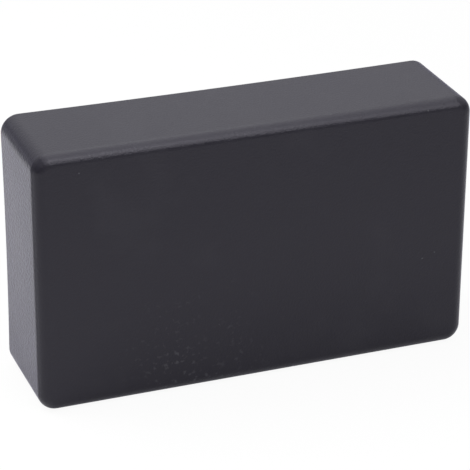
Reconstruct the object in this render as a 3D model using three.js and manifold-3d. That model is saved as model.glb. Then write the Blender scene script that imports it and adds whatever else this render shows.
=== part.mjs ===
// A hand-held mains demagnetizer for watches and small tools, in a black moulded box.
// A push-button feeds an open E-shaped core, whose three poles lie just under the lid.
//
// Millimetres, +Z up. The box stands on its long narrow side: +X runs along it,
// -Y is its plain closed face, and +Y is the lid, with the button and the lamp.
// The origin is the centre of the side that it stands on.

import * as THREE from "three";
import { mergeVertices } from "three/addons/utils/BufferGeometryUtils.js";
import Module from "manifold-3d";

// ---------------------------------------------------------------- driving sizes

// Box
const WIDTH = 100;
const HEIGHT = 60;
const DEPTH = 25;
const WALL = 2.2;
const CORNER_RADIUS = 4; // the four edges that run along the depth
const FACE_FILLET = 2.6; // round the plain closed face
const FLOOR_FILLET = 0.8; // inside, round the floor
const RIM_LIP = 1.2; // wall that is left outside the lid

// Clearances
const SEAT = 0.1; // between two pieces that rest on each other
const FIT = 0.2; // round a piece that slips into another
const WIRE_GAP = 0.3; // from a wire's end to what it is soldered to

// Lid
const LID_THICKNESS = 2.2;
const LID_SETBACK = 0.1; // below the rim
const LID_GAP = 0.25; // all round, to the rim
const PANEL_DEPTH = 0.4; // the recessed working face
const PANEL_MARGIN_X = 10;
const PANEL_MARGIN_Z = 5;
const PANEL_RADIUS = 2.5;
const BEZEL_SEAT_DEPTH = 0.2; // round seats in the panel, one for each bezel
const LID_RIB_HEIGHT = 1.6;
const LID_RIB_THICKNESS = 1.2;

// Corner bosses and lid screws
const BOSS_INSET = 5.2; // screw axis from the outer faces
const BOSS_DIAMETER = 6.4;
const BOSS_DRAFT = 0.25; // growth of the boss's radius towards the floor
const LID_SCREW_DIAMETER = 2.9;
const LID_SCREW_LENGTH = 11;
const LID_SCREW_HEAD = 5.2;
const LID_SCREW_HEAD_DEPTH = 1.3;
const CROSS_WIDTH = 0.7;
const CROSS_SPAN = 2.7;
const CROSS_DEPTH = 0.9;

// Core
const CORE_SIDE_GAP = 4.2; // from the end wall
const OUTER_LIMB = 5;
const CENTRE_LIMB = 10;
const WINDOW = 5;
const YOKE = 5;
const CORE_END_ROOM = 13.8; // for the coil's end turns and the bracket's screws
const POLE_GAP = 0.4; // from the poles to the lid
const YOKE_NOTCH = 1; // locating notch in the yoke's two corners

// Bobbin and coil
const BARREL_WALL = 0.8;
const FLANGE = 0.8;
const FLANGE_RADIUS = 1.5;
const BOBBIN_GAP = 0.25; // to the outer limbs
const BOBBIN_POLE_SETBACK = 0.5; // bobbin's top below the pole faces
const TAPE_THICKNESS = 0.35;
const TAPE_SETBACK = 0.35; // below the flange's edge
const PIN_BLOCK_LENGTH = 4.5;
const PIN_BLOCK_HEIGHT = 2.5;
const PIN_BLOCK_WIDTH = 4.2;
const COIL_PIN_DIAMETER = 1;
const COIL_PIN_LENGTH = 7;
const PIN_SOCKET_FLOOR = 0.5; // plastic left under a pin

// Thermal fuse
const THERMAL_DIAMETER = 2.4;
const THERMAL_LENGTH = 9;
const THERMAL_LEAD = 2.5;
const THERMAL_LEAD_DIAMETER = 0.8;
const THERMAL_SHARE = 0.72; // its height on the coil, from the yoke to the poles

// Bracket
const BRACKET_THICKNESS = 0.8;
const BRACKET_WIDTH = 20; // of the channel, along the stack
const BRACKET_CHEEK = 12;
const BRACKET_TAB_WIDTH = 8;
const BRACKET_TAB_RISE = 3;
const BRACKET_RAMP = 2.5;
const BRACKET_SCREW_PAST_COIL = 3.9;
const BRACKET_TAB_END = 3;
const BASE_SCREW_DIAMETER = 2.9;
const BASE_SCREW_HEAD = 5.4;
const BASE_SCREW_HEAD_HEIGHT = 1.9;
const BASE_SCREW_LENGTH = 2.6;
const BASE_BOSS_DIAMETER = 6;

// Push-button switch
const SWITCH_FROM_TOP = 14;
const BUSHING_DIAMETER = 11.8;
const BUSHING_LENGTH = 8;
const BEZEL_DIAMETER = 14;
const BEZEL_HEIGHT = 2;
const BEZEL_FILLET = 0.6;
const SWITCH_BODY_DIAMETER = 11.2;
const SWITCH_DEPTH = 14.6; // below the bezel's seat
const CHAMBER_DIAMETER = 9.5;
const RETAINING_LIP = 3.2; // thickness of the lip that keeps the plunger in
const SWITCH_BASE_THICKNESS = 1.3;
const SWITCH_SPIGOT = 0.9;
const NUT_FLATS = 14;
const NUT_THICKNESS = 2;
const WASHER_DIAMETER = 15;
const WASHER_THICKNESS = 0.5;

// Plunger, bridge, spring and terminals
const TRAVEL = 2.5;
const CAP_DIAMETER = 7.5;
const CAP_PROUD = 3.2; // of the bezel, at rest
const CAP_CROWN = 0.5;
const SKIRT_DIAMETER = 9;
const SKIRT_HEIGHT = 3;
const SKIRT_REST_GAP = 0.3;
const STEM_DIAMETER = 2.6;
const STEM_LENGTH = 3.6;
const BRIDGE_LENGTH = 8.4;
const BRIDGE_WIDTH = 2.6;
const BRIDGE_THICKNESS = 0.5;
const CONTACT_REST_GAP = 0.2; // what is left of the contact gap when the button is down
const SPRING_WIRE = 0.45;
const SPRING_RADIUS = 2;
const SPRING_TURNS = 7;
const TERMINAL_THICKNESS = 0.6;
const TERMINAL_WIDTH = 2.4;
const TERMINAL_OFFSET = 3.9;
const TERMINAL_TIP = 1;
const LUG_LENGTH = 3.5;

// Lamp
const LED_ABOVE_BOARD_EDGE = 14;
const LED_DIAMETER = 5;
const LED_LENGTH = 8.6;
const LED_FLANGE_DIAMETER = 5.8;
const LED_FLANGE_HEIGHT = 1;
const LED_PROUD = 2.5;
const LED_PITCH = 2.54;
const LED_LEAD = 0.5;
const LED_BEZEL_DIAMETER = 8;
const LED_BEZEL_HEIGHT = 0.8;
const LED_COLLAR_DIAMETER = 6.4;
const LED_COLLAR_DEPTH = 2.8;
const LED_SPACER_DIAMETER = 6;

// Circuit board, seen from the lid; places on it are from its centre
const BOARD_WIDTH = 30;
const BOARD_HEIGHT = 30;
const BOARD_THICKNESS = 1.6;
const BOARD_EDGE = 1.8; // from the lower side wall
const POST_HEIGHT = 4.2;
const POST_DIAMETER = 5.4;
const BOARD_SCREW_INSET = 3.2;

const FUSE_LENGTH = 20;
const FUSE_DIAMETER = 5.2;
const FUSE_CAP_LENGTH = 5.2;
const FUSE_CAP_WALL = 0.3;
const FUSE_GLASS_WALL = 0.5;
const FUSE_AXIS_HEIGHT = 4.3;
const FUSE_PLACE_Z = 8.5;
const CLIP_WIDTH = 4;
const CLIP_THICKNESS = 0.4;
const CLIP_FOOT = 6;

const CAPACITOR = { width: 6.4, height: 12, rise: 9.5 };
const CAPACITOR_FILLET = 0.6;
const CAPACITOR_FROM_EDGE = 7;
const CAPACITOR_PLACE = { x: CAPACITOR_FROM_EDGE - BOARD_WIDTH / 2, z: -2 };
const RESISTOR = { diameter: 3.4, length: 9, pitch: 12, lead: 0.7 };
const RESISTOR_PLACE = { x: 5.7, z: -3 };
const DIODE = { diameter: 2.7, length: 5.2, pitch: 9, lead: 0.8 };
const DIODE_FROM_EDGE = 4.6;
const DIODE_PLACE = { x: BOARD_WIDTH / 2 - DIODE_FROM_EDGE, z: -1.5 };
const PAD_INSET_X = 1.8; // wire pads from the board's side edges
const PAD_INSET_Z = 1.5;

// Mains inlet, two round pins in a figure-of-eight mouth
const INLET_PITCH = 8.6;
const INLET_LOBE = 8.4;
const INLET_DEPTH = 12.5;
const INLET_WALL = 1.5;
const INLET_BACK = 3;
const INLET_SETBACK = 0.2; // of its face, in the end wall
const INLET_CORNER = 3;
const INLET_FLANGE = 1.4; // beyond the snout, behind the wall
const INLET_FLANGE_THICKNESS = 1.6;
const INLET_PIN_DIAMETER = 2.4;
const INLET_PIN_SETBACK = 2;
const INLET_LUG = { length: 5, width: 1.9, thickness: 0.8, root: 1 };
const INLET_RIB_THICKNESS = 1.6;
const INLET_RIB_WIDTH = 3.4;

// Wires
const WIRE_DIAMETER = 1.6;
const WIRE_SIDES = 8;

// Facets
const BIG_ROUND = 32;
const ROUND = 20;
const SMALL_ROUND = 12;
const TINY_ROUND = 8;
const ARC_STEPS = 3; // a quarter of a rounded corner gets twice as many facets
const FILLET_STEPS = 5;

// ---------------------------------------------------------------- worked-out planes

const BASE_Y = -DEPTH / 2;
const RIM_Y = DEPTH / 2;
const FLOOR_Y = BASE_Y + WALL;
const LID_TOP_Y = RIM_Y - LID_SETBACK;
const LID_UNDER_Y = LID_TOP_Y - LID_THICKNESS;
const LEDGE_Y = LID_UNDER_Y - SEAT;
const PANEL_Y = LID_TOP_Y - PANEL_DEPTH;
const BEZEL_SEAT_Y = PANEL_Y - BEZEL_SEAT_DEPTH;
const LID_AT_SEAT = LID_THICKNESS - PANEL_DEPTH - BEZEL_SEAT_DEPTH;
const MIDDLE_Z = HEIGHT / 2;
const OUTER_FILLET = Math.min(FACE_FILLET, 0.9 * CORNER_RADIUS); // within the corner it runs round
const INNER_RADIUS = Math.max(CORNER_RADIUS - WALL, 1.5 * FLOOR_FILLET);
const INNER_X = WIDTH / 2 - WALL;
const INNER_WIDTH = WIDTH - 2 * WALL;
const INNER_HEIGHT = HEIGHT - 2 * WALL;

const STACK = INNER_HEIGHT - 2 * CORE_END_ROOM;
const CORE_WIDTH = 2 * OUTER_LIMB + 2 * WINDOW + CENTRE_LIMB;
const CORE_HALF_WIDTH = CORE_WIDTH / 2;
const CHEEK_OUTER = CORE_HALF_WIDTH + SEAT + BRACKET_THICKNESS;
const CORE_X = -INNER_X + CORE_SIDE_GAP + CHEEK_OUTER;
const CORE_BOTTOM = BRACKET_THICKNESS + 2 * SEAT; // above the floor
const CORE_TOP = LID_UNDER_Y - FLOOR_Y - POLE_GAP;
const YOKE_TOP = CORE_BOTTOM + YOKE;
const FLANGE_HALF_X = CENTRE_LIMB / 2 + WINDOW - BOBBIN_GAP;
const FLANGE_HALF_Z = STACK / 2 + WINDOW - BOBBIN_GAP;
const BOBBIN_BOTTOM = YOKE_TOP + SEAT;
const BOBBIN_TOP = CORE_TOP - BOBBIN_POLE_SETBACK;
const BRACKET_SCREW_Z = FLANGE_HALF_Z + BRACKET_SCREW_PAST_COIL;

const INLET_FRONT = WIDTH / 2 - INLET_SETBACK;
const INLET_REAR = INLET_FRONT - INLET_DEPTH - INLET_BACK;
const INLET_SNOUT_Z = INLET_PITCH + INLET_LOBE + 2 * INLET_WALL;
const INLET_SNOUT_Y = INLET_LOBE + 2 * INLET_WALL;
const LUG_END_X = INLET_REAR - INLET_LUG.length;

const CORE_RIGHT_X = CORE_X + CHEEK_OUTER;
const BOARD_X = (CORE_RIGHT_X + LUG_END_X) / 2;
const BOARD_Z = WALL + BOARD_EDGE + BOARD_HEIGHT / 2;
const BOARD_UNDER_Y = FLOOR_Y + POST_HEIGHT + SEAT;
const BOARD_TOP_Y = BOARD_UNDER_Y + BOARD_THICKNESS;
const SWITCH_X = BOARD_X;
const SWITCH_Z = HEIGHT - SWITCH_FROM_TOP;
const LED_Z = BOARD_Z - BOARD_HEIGHT / 2 + LED_ABOVE_BOARD_EDGE;

// ---------------------------------------------------------------- materials

const paint = (color, roughness, metalness = 0) =>
  new THREE.MeshStandardMaterial({ color, roughness, metalness });

const MATERIALS = {
  blackShell: paint(0x1d1c20, 0.5),
  blackPlastic: paint(0x17171a, 0.4),
  whiteNylon: paint(0xe9e6da, 0.55),
  coreSteel: paint(0x6b6d72, 0.45, 0.8),
  zincSteel: paint(0xb9bcc0, 0.35, 0.9),
  blackSteel: paint(0x2b2b2e, 0.45, 0.7),
  nickel: paint(0xcfcdc6, 0.25, 1),
  brass: paint(0xc9a24c, 0.3, 1),
  copper: paint(0xb4622d, 0.35, 0.9),
  amberTape: paint(0xd9a61f, 0.3),
  redButton: paint(0xb3151a, 0.35),
  redLens: paint(0xc81820, 0.15),
  boardGreen: paint(0x2f6b3c, 0.45),
  fuseGlass: paint(0xdfe8ea, 0.08),
  filmYellow: paint(0xc8a52a, 0.45),
  resistorBlue: paint(0x7fa3b8, 0.5),
  diodeBlack: paint(0x1b1b1d, 0.4),
  springSteel: paint(0xa8abb0, 0.3, 1),
  wireBrown: paint(0x5d3a22, 0.5),
  wireBlue: paint(0x1f4f9c, 0.5),
  wireRed: paint(0xa3211f, 0.5),
  wireWhite: paint(0xd8d6cf, 0.5),
};

// ---------------------------------------------------------------- solids

const wasm = await Module();
wasm.setup();

// A closed geometry as a solid that can be joined and cut.
function solid(geometry) {
  const bare = geometry.clone();
  bare.deleteAttribute("normal");
  bare.deleteAttribute("uv");
  const merged = mergeVertices(bare, 1e-4);
  return new wasm.Manifold(
    new wasm.Mesh({
      numProp: 3,
      vertProperties: merged.attributes.position.array,
      triVerts: new Uint32Array(merged.index.array),
    }),
  );
}

// A solid as a geometry with flat faces.
function geometryOf(made) {
  const { vertProperties, triVerts } = made.getMesh();
  const indexed = new THREE.BufferGeometry();
  indexed.setAttribute("position", new THREE.BufferAttribute(new Float32Array(vertProperties), 3));
  indexed.setIndex(new THREE.BufferAttribute(new Uint32Array(triVerts), 1));
  const flat = indexed.toNonIndexed();
  flat.computeVertexNormals();
  return flat;
}

function joined(...parts) {
  return parts.reduce((sum, part) => sum.add(part));
}

function cut(body, ...tools) {
  return tools.reduce((left, tool) => left.subtract(tool), body);
}

// A named mesh, ready to be placed.
function piece(name, made, material, x = 0, y = 0, z = 0) {
  const geometry = made.isBufferGeometry ? made : geometryOf(made);
  const mesh = new THREE.Mesh(geometry, material.clone());
  mesh.name = name;
  mesh.position.set(x, y, z);
  return mesh;
}

function group(x, y, z, ...children) {
  const made = new THREE.Group();
  made.position.set(x, y, z);
  made.add(...children);
  return made;
}

// A rectangle about the origin with round corners.
function roundedRect(width, height, radius, outline = new THREE.Shape()) {
  const right = width / 2;
  const top = height / 2;
  const r = Math.min(radius, right, top);
  outline.moveTo(right, -top + r);
  outline.lineTo(right, top - r);
  outline.absarc(right - r, top - r, r, 0, Math.PI / 2);
  outline.absarc(-right + r, top - r, r, Math.PI / 2, Math.PI);
  outline.absarc(-right + r, -top + r, r, Math.PI, 1.5 * Math.PI);
  outline.absarc(right - r, -top + r, r, 1.5 * Math.PI, 2 * Math.PI);
  return outline;
}

function circle(radius, sides) {
  const outline = new THREE.Shape();
  for (let i = 0; i < sides; i += 1) {
    const angle = (2 * Math.PI * i) / sides;
    const point = [radius * Math.cos(angle), radius * Math.sin(angle)];
    if (i === 0) outline.moveTo(...point);
    else outline.lineTo(...point);
  }
  return outline;
}

// An outline in the X-Z plane as a slab that reaches down from y = top.
// A fillet rounds the slab's two faces.
function slab(outline, top, thickness, fillet = 0, filletSteps = FILLET_STEPS) {
  const made = new THREE.ExtrudeGeometry(outline, {
    depth: thickness - 2 * fillet,
    curveSegments: ARC_STEPS,
    bevelEnabled: fillet > 0,
    bevelThickness: fillet,
    bevelSize: fillet,
    bevelOffset: -fillet,
    bevelSegments: filletSteps,
  });
  made.rotateX(Math.PI / 2);
  made.translate(0, top - fillet, 0);
  return solid(made);
}

// An outline in the Z-Y plane as a bar that reaches from x = start towards +X.
function bar(outline, start, length) {
  const made = new THREE.ExtrudeGeometry(outline, {
    depth: length,
    curveSegments: ARC_STEPS,
    bevelEnabled: false,
  });
  made.rotateY(Math.PI / 2);
  made.translate(start, 0, 0);
  return solid(made);
}

// A box given by its lowest and highest corner.
function block([x0, y0, z0], [x1, y1, z1]) {
  const made = new THREE.BoxGeometry(x1 - x0, y1 - y0, z1 - z0);
  made.translate((x0 + x1) / 2, (y0 + y1) / 2, (z0 + z1) / 2);
  return solid(made);
}

// A profile of [radius, y] turned about the Y axis, from its lowest point on the axis upwards.
function turned(profile, sides) {
  const points = profile.map(([radius, y]) => new THREE.Vector2(radius, y));
  return solid(new THREE.LatheGeometry(points, sides));
}

// A closed ring profile, given without its repeated last point.
function turnedRing(profile, sides) {
  return turned([...profile, profile[0]], sides);
}

function rod(radius, bottom, top, sides) {
  return turned([[0, bottom], [radius, bottom], [radius, top], [0, top]], sides);
}

function tubeAlong(path, radius, sides, steps) {
  return new THREE.ExtrudeGeometry(circle(radius, sides), {
    steps,
    bevelEnabled: false,
    extrudePath: path,
  });
}

// ---------------------------------------------------------------- box: tub and lid

const bossPlaces = [-1, 1].flatMap((side) =>
  [-1, 1].map((level) => ({
    x: side * (WIDTH / 2 - BOSS_INSET),
    z: level * (HEIGHT / 2 - BOSS_INSET),
  })),
);

const postPlaces = [
  { x: -1, z: -1, screwed: true },
  { x: 1, z: -1, screwed: true },
  { x: -1, z: 1, screwed: false },
  { x: 1, z: 1, screwed: false },
].map(({ x, z, screwed }) => ({
  x: BOARD_X + x * (BOARD_WIDTH / 2 - BOARD_SCREW_INSET),
  z: BOARD_Z - MIDDLE_Z + z * (BOARD_HEIGHT / 2 - BOARD_SCREW_INSET),
  screwed,
}));

// A drafted boss that stands on the floor, with a blind pilot hole from its top.
function boss(radius, top, holeRadius, holeDepth) {
  const made = turned(
    [
      [0, FLOOR_Y - WALL / 2],
      [radius + BOSS_DRAFT, FLOOR_Y - WALL / 2],
      [radius, top],
      [0, top],
    ],
    SMALL_ROUND,
  );
  return holeRadius ? cut(made, rod(holeRadius, top - holeDepth, top + 1, SMALL_ROUND)) : made;
}

// The two ribs that hold the inlet's flange against the end wall.
function inletRibs() {
  const back = INNER_X - SEAT - INLET_FLANGE_THICKNESS - SEAT;
  const near = INLET_SNOUT_Z / 2 + FIT;
  const top = INLET_SNOUT_Y / 2 + INLET_FLANGE / 2;
  return [-1, 1].map((side) => {
    const low = Math.min(side * near, side * (near + INLET_RIB_WIDTH));
    return block(
      [back - INLET_RIB_THICKNESS, FLOOR_Y - WALL / 2, low],
      [back, top, low + INLET_RIB_WIDTH],
    );
  });
}

function tubHousing() {
  const above = 3; // how far the cutting shapes stand out of the open back
  const outside = slab(
    roundedRect(WIDTH, HEIGHT, CORNER_RADIUS),
    RIM_Y + above,
    DEPTH + above,
    OUTER_FILLET,
  );
  const cavity = slab(
    roundedRect(INNER_WIDTH, INNER_HEIGHT, INNER_RADIUS),
    RIM_Y + above,
    DEPTH + above - WALL,
    FLOOR_FILLET,
  );
  const rebate = slab(
    roundedRect(WIDTH - 2 * RIM_LIP, HEIGHT - 2 * RIM_LIP, CORNER_RADIUS - RIM_LIP),
    RIM_Y + above,
    RIM_Y + above - LEDGE_Y,
  );
  const beyond = block([-WIDTH, RIM_Y, -HEIGHT], [WIDTH, RIM_Y + 2 * above, HEIGHT]);
  const bossSpace = slab(
    roundedRect(WIDTH - 2 * RIM_LIP, HEIGHT - 2 * RIM_LIP, CORNER_RADIUS - RIM_LIP),
    LEDGE_Y,
    LEDGE_Y - FLOOR_Y + WALL / 2,
  );
  const cornerBosses = bossPlaces.map(({ x, z }) =>
    boss(
      BOSS_DIAMETER / 2,
      LEDGE_Y,
      LID_SCREW_DIAMETER / 2 + SEAT,
      LID_SCREW_LENGTH,
    )
      .translate([x, 0, z])
      .intersect(bossSpace),
  );
  const boardPosts = postPlaces.map(({ x, z, screwed }) =>
    boss(
      POST_DIAMETER / 2,
      FLOOR_Y + POST_HEIGHT,
      screwed ? BASE_SCREW_DIAMETER / 2 + SEAT : 0,
      BASE_SCREW_LENGTH + SEAT,
    ).translate([x, 0, z]),
  );
  const bracketBosses = [-1, 1].map((side) =>
    boss(
      BASE_BOSS_DIAMETER / 2,
      FLOOR_Y + BRACKET_TAB_RISE,
      BASE_SCREW_DIAMETER / 2 + SEAT,
      BASE_SCREW_LENGTH + SEAT,
    ).translate([CORE_X, 0, side * BRACKET_SCREW_Z]),
  );
  const inletHole = bar(
    roundedRect(INLET_SNOUT_Z + 2 * FIT, INLET_SNOUT_Y + 2 * FIT, INLET_CORNER + FIT),
    INNER_X - 1,
    WALL + 2,
  );
  const shell = cut(outside, cavity, rebate, beyond);
  const fitted = joined(shell, ...cornerBosses, ...boardPosts, ...bracketBosses, ...inletRibs());
  return cut(fitted, inletHole);
}

// A hole through the lid, with a wider round seat for a bezel sunk into the panel.
function seatedHole(holeRadius, seatRadius, sides) {
  return turned(
    [
      [0, LID_UNDER_Y - 1],
      [holeRadius, LID_UNDER_Y - 1],
      [holeRadius, BEZEL_SEAT_Y],
      [seatRadius, BEZEL_SEAT_Y],
      [seatRadius, LID_TOP_Y + 1],
      [0, LID_TOP_Y + 1],
    ],
    sides,
  );
}

function lid() {
  const clear = RIM_LIP + LID_GAP;
  const plate = slab(
    roundedRect(WIDTH - 2 * clear, HEIGHT - 2 * clear, CORNER_RADIUS - clear),
    LID_TOP_Y,
    LID_THICKNESS,
  );
  const panel = slab(
    roundedRect(WIDTH - 2 * PANEL_MARGIN_X, HEIGHT - 2 * PANEL_MARGIN_Z, PANEL_RADIUS),
    LID_TOP_Y + 1,
    PANEL_DEPTH + 1,
  );
  const ribX = INNER_X - LID_GAP;
  const ribZ = INNER_HEIGHT / 2 - LID_GAP;
  const ribEndX = WIDTH / 2 - BOSS_INSET - BOSS_DIAMETER;
  const ribEndZ = HEIGHT / 2 - BOSS_INSET - BOSS_DIAMETER;
  const ribTop = LID_UNDER_Y + LID_THICKNESS / 4;
  const ribBottom = LID_UNDER_Y - LID_RIB_HEIGHT;
  const ribs = [-1, 1].flatMap((side) => {
    const lowX = Math.min(side * ribX, side * (ribX - LID_RIB_THICKNESS));
    const lowZ = Math.min(side * ribZ, side * (ribZ - LID_RIB_THICKNESS));
    return [
      block([lowX, ribBottom, -ribEndZ], [lowX + LID_RIB_THICKNESS, ribTop, ribEndZ]),
      block([-ribEndX, ribBottom, lowZ], [ribEndX, ribTop, lowZ + LID_RIB_THICKNESS]),
    ];
  });
  const screwHoles = bossPlaces.map(({ x, z }) => {
    const shank = LID_SCREW_DIAMETER / 2 + FIT;
    const head = LID_SCREW_HEAD / 2 + SEAT;
    return turned(
      [
        [0, LID_UNDER_Y - 1],
        [shank, LID_UNDER_Y - 1],
        [shank, LID_TOP_Y - LID_SCREW_HEAD_DEPTH],
        [head, LID_TOP_Y],
        [head, LID_TOP_Y + 1],
        [0, LID_TOP_Y + 1],
      ],
      ROUND,
    ).translate([x, 0, z]);
  });
  const switchHole = seatedHole(
    BUSHING_DIAMETER / 2 + FIT,
    BEZEL_DIAMETER / 2 + FIT,
    BIG_ROUND,
  ).translate([SWITCH_X, 0, SWITCH_Z - MIDDLE_Z]);
  const ledHole = seatedHole(
    LED_COLLAR_DIAMETER / 2 + SEAT,
    LED_BEZEL_DIAMETER / 2 + FIT,
    ROUND,
  ).translate([SWITCH_X, 0, LED_Z - MIDDLE_Z]);
  return cut(joined(cut(plate, panel), ...ribs), ...screwHoles, switchHole, ledHole);
}

// The crossed slot in a screw's head, reaching down from y = top.
function crossSlot(top) {
  const half = CROSS_WIDTH / 2;
  const span = CROSS_SPAN / 2;
  return joined(
    block([-half, top - CROSS_DEPTH, -span], [half, top + 1, span]),
    block([-span, top - CROSS_DEPTH, -half], [span, top + 1, half]),
  );
}

// Countersunk, with its head's face at y = 0.
function lidScrew() {
  const shank = LID_SCREW_DIAMETER / 2;
  const point = LID_SCREW_LENGTH - 2;
  const body = turned(
    [
      [0, -LID_SCREW_LENGTH],
      [shank / 3, -LID_SCREW_LENGTH],
      [shank, -point],
      [shank, -LID_SCREW_HEAD_DEPTH - SEAT],
      [LID_SCREW_HEAD / 2, -SEAT],
      [0, -SEAT],
    ],
    SMALL_ROUND,
  );
  return cut(body, crossSlot(-SEAT));
}

// Pan head, seated on y = 0.
function baseScrew(grip) {
  const shank = BASE_SCREW_DIAMETER / 2;
  const head = BASE_SCREW_HEAD / 2;
  const end = -grip - BASE_SCREW_LENGTH;
  const body = turned(
    [
      [0, end],
      [shank, end],
      [shank, 0],
      [head, 0],
      [head, BASE_SCREW_HEAD_HEIGHT / 2],
      [0.7 * head, BASE_SCREW_HEAD_HEIGHT],
      [0, BASE_SCREW_HEAD_HEIGHT],
    ],
    SMALL_ROUND,
  );
  return cut(body, crossSlot(BASE_SCREW_HEAD_HEIGHT));
}

const housing = group(
  0,
  0,
  MIDDLE_Z,
  piece("tub_housing", tubHousing(), MATERIALS.blackShell),
  piece("lid", lid(), MATERIALS.blackShell),
  ...bossPlaces.map(({ x, z }, i) =>
    piece(`lid_screw_${i + 1}`, lidScrew(), MATERIALS.blackSteel, x, LID_TOP_Y, z),
  ),
);

// ---------------------------------------------------------------- core and coil

// The E outline, back to the floor, extruded along the stack.
function coreLaminations() {
  const outer = CORE_HALF_WIDTH;
  const limb = CENTRE_LIMB / 2;
  const window = limb + WINDOW;
  const outline = new THREE.Shape();
  const right = [
    [outer - YOKE_NOTCH, CORE_BOTTOM],
    [outer - YOKE_NOTCH, CORE_BOTTOM + YOKE_NOTCH],
    [outer, CORE_BOTTOM + YOKE_NOTCH],
    [outer, CORE_TOP],
    [window, CORE_TOP],
    [window, YOKE_TOP],
    [limb, YOKE_TOP],
    [limb, CORE_TOP],
  ];
  const left = right.map(([x, y]) => [-x, y]).reverse();
  const points = [...right, ...left];
  outline.setFromPoints(points.map(([x, y]) => new THREE.Vector2(x, y)));
  const made = new THREE.ExtrudeGeometry(outline, { depth: STACK, bevelEnabled: false });
  made.translate(0, 0, -STACK / 2);
  return made;
}

// A ring between two rounded rectangles, from y = bottom to y = top.
function collar(halfX, halfZ, innerHalfX, innerHalfZ, radius, bottom, top) {
  const thickness = halfX - innerHalfX;
  const outline = roundedRect(2 * halfX, 2 * halfZ, radius);
  outline.holes.push(
    roundedRect(2 * innerHalfX, 2 * innerHalfZ, Math.max(radius - thickness, SEAT), new THREE.Path()),
  );
  return slab(outline, top, top - bottom);
}

const barrelHalfX = CENTRE_LIMB / 2 + FIT + BARREL_WALL;
const barrelHalfZ = STACK / 2 + FIT + BARREL_WALL;
const PIN_FOOT = BOBBIN_BOTTOM + PIN_SOCKET_FLOOR + SEAT;
const pinPlaces = [1, -1].map((side) => ({
  x: FLANGE_HALF_X + PIN_BLOCK_WIDTH / 2,
  z: side * (STACK / 2 + 2 * FIT + PIN_BLOCK_LENGTH / 2),
}));

function coilBobbin() {
  const flange = (top) =>
    slab(roundedRect(2 * FLANGE_HALF_X, 2 * FLANGE_HALF_Z, FLANGE_RADIUS), top, FLANGE);
  const barrel = slab(
    roundedRect(2 * barrelHalfX, 2 * barrelHalfZ, BARREL_WALL),
    BOBBIN_TOP - FLANGE / 2,
    BOBBIN_TOP - BOBBIN_BOTTOM - FLANGE,
  );
  const bore = block(
    [-CENTRE_LIMB / 2 - FIT, BOBBIN_BOTTOM - 1, -STACK / 2 - FIT],
    [CENTRE_LIMB / 2 + FIT, BOBBIN_TOP + 1, STACK / 2 + FIT],
  );
  const half = PIN_BLOCK_LENGTH / 2;
  const blocks = pinPlaces.map(({ x, z }) =>
    joined(
      block(
        [FLANGE_HALF_X - FLANGE_RADIUS, BOBBIN_BOTTOM + SEAT, z - half + FIT],
        [x, BOBBIN_BOTTOM + FLANGE - SEAT, z + half - FIT],
      ),
      block(
        [x - PIN_BLOCK_WIDTH / 2 + FIT, BOBBIN_BOTTOM, z - half],
        [x + PIN_BLOCK_WIDTH / 2, BOBBIN_BOTTOM + PIN_BLOCK_HEIGHT, z + half],
      ),
    ),
  );
  const pinHoles = pinPlaces.map(({ x, z }) =>
    rod(
      COIL_PIN_DIAMETER / 2 + SEAT,
      BOBBIN_BOTTOM + PIN_SOCKET_FLOOR,
      BOBBIN_BOTTOM + PIN_BLOCK_HEIGHT + 1,
      TINY_ROUND,
    ).translate([x, 0, z]),
  );
  return cut(
    joined(barrel, flange(BOBBIN_BOTTOM + FLANGE), flange(BOBBIN_TOP), ...blocks),
    bore,
    ...pinHoles,
  );
}

const windingBottom = BOBBIN_BOTTOM + FLANGE + SEAT;
const windingTop = BOBBIN_TOP - FLANGE - SEAT;
const tapeHalfX = FLANGE_HALF_X - TAPE_SETBACK;
const tapeHalfZ = FLANGE_HALF_Z - TAPE_SETBACK;
const windingHalfX = tapeHalfX - TAPE_THICKNESS - SEAT;
const windingHalfZ = tapeHalfZ - TAPE_THICKNESS - SEAT;

function coilWinding() {
  return collar(
    windingHalfX,
    windingHalfZ,
    barrelHalfX + SEAT,
    barrelHalfZ + SEAT,
    windingHalfX - barrelHalfX + BARREL_WALL,
    windingBottom,
    windingTop,
  );
}

function coilTape() {
  return collar(
    tapeHalfX,
    tapeHalfZ,
    tapeHalfX - TAPE_THICKNESS,
    tapeHalfZ - TAPE_THICKNESS,
    windingHalfX - barrelHalfX + BARREL_WALL + TAPE_THICKNESS,
    windingBottom,
    windingTop,
  );
}

function coilPin() {
  return rod(COIL_PIN_DIAMETER / 2, 0, COIL_PIN_LENGTH, TINY_ROUND);
}

// A round can with a lead at each end, along X.
function thermalFuse() {
  const can = THERMAL_DIAMETER / 2;
  const lead = THERMAL_LEAD_DIAMETER / 2;
  const half = THERMAL_LENGTH / 2;
  return turned(
    [
      [0, -half - THERMAL_LEAD],
      [lead, -half - THERMAL_LEAD],
      [lead, -half],
      [can, -half + can / 3],
      [can, half - can / 3],
      [lead, half],
      [lead, half + THERMAL_LEAD],
      [0, half + THERMAL_LEAD],
    ],
    SMALL_ROUND,
  ).rotate([0, 0, 90]);
}

const THERMAL_Y = BOBBIN_BOTTOM + THERMAL_SHARE * (BOBBIN_TOP - BOBBIN_BOTTOM);
const THERMAL_Z = FLANGE_HALF_Z + FIT + THERMAL_DIAMETER / 2;

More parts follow.
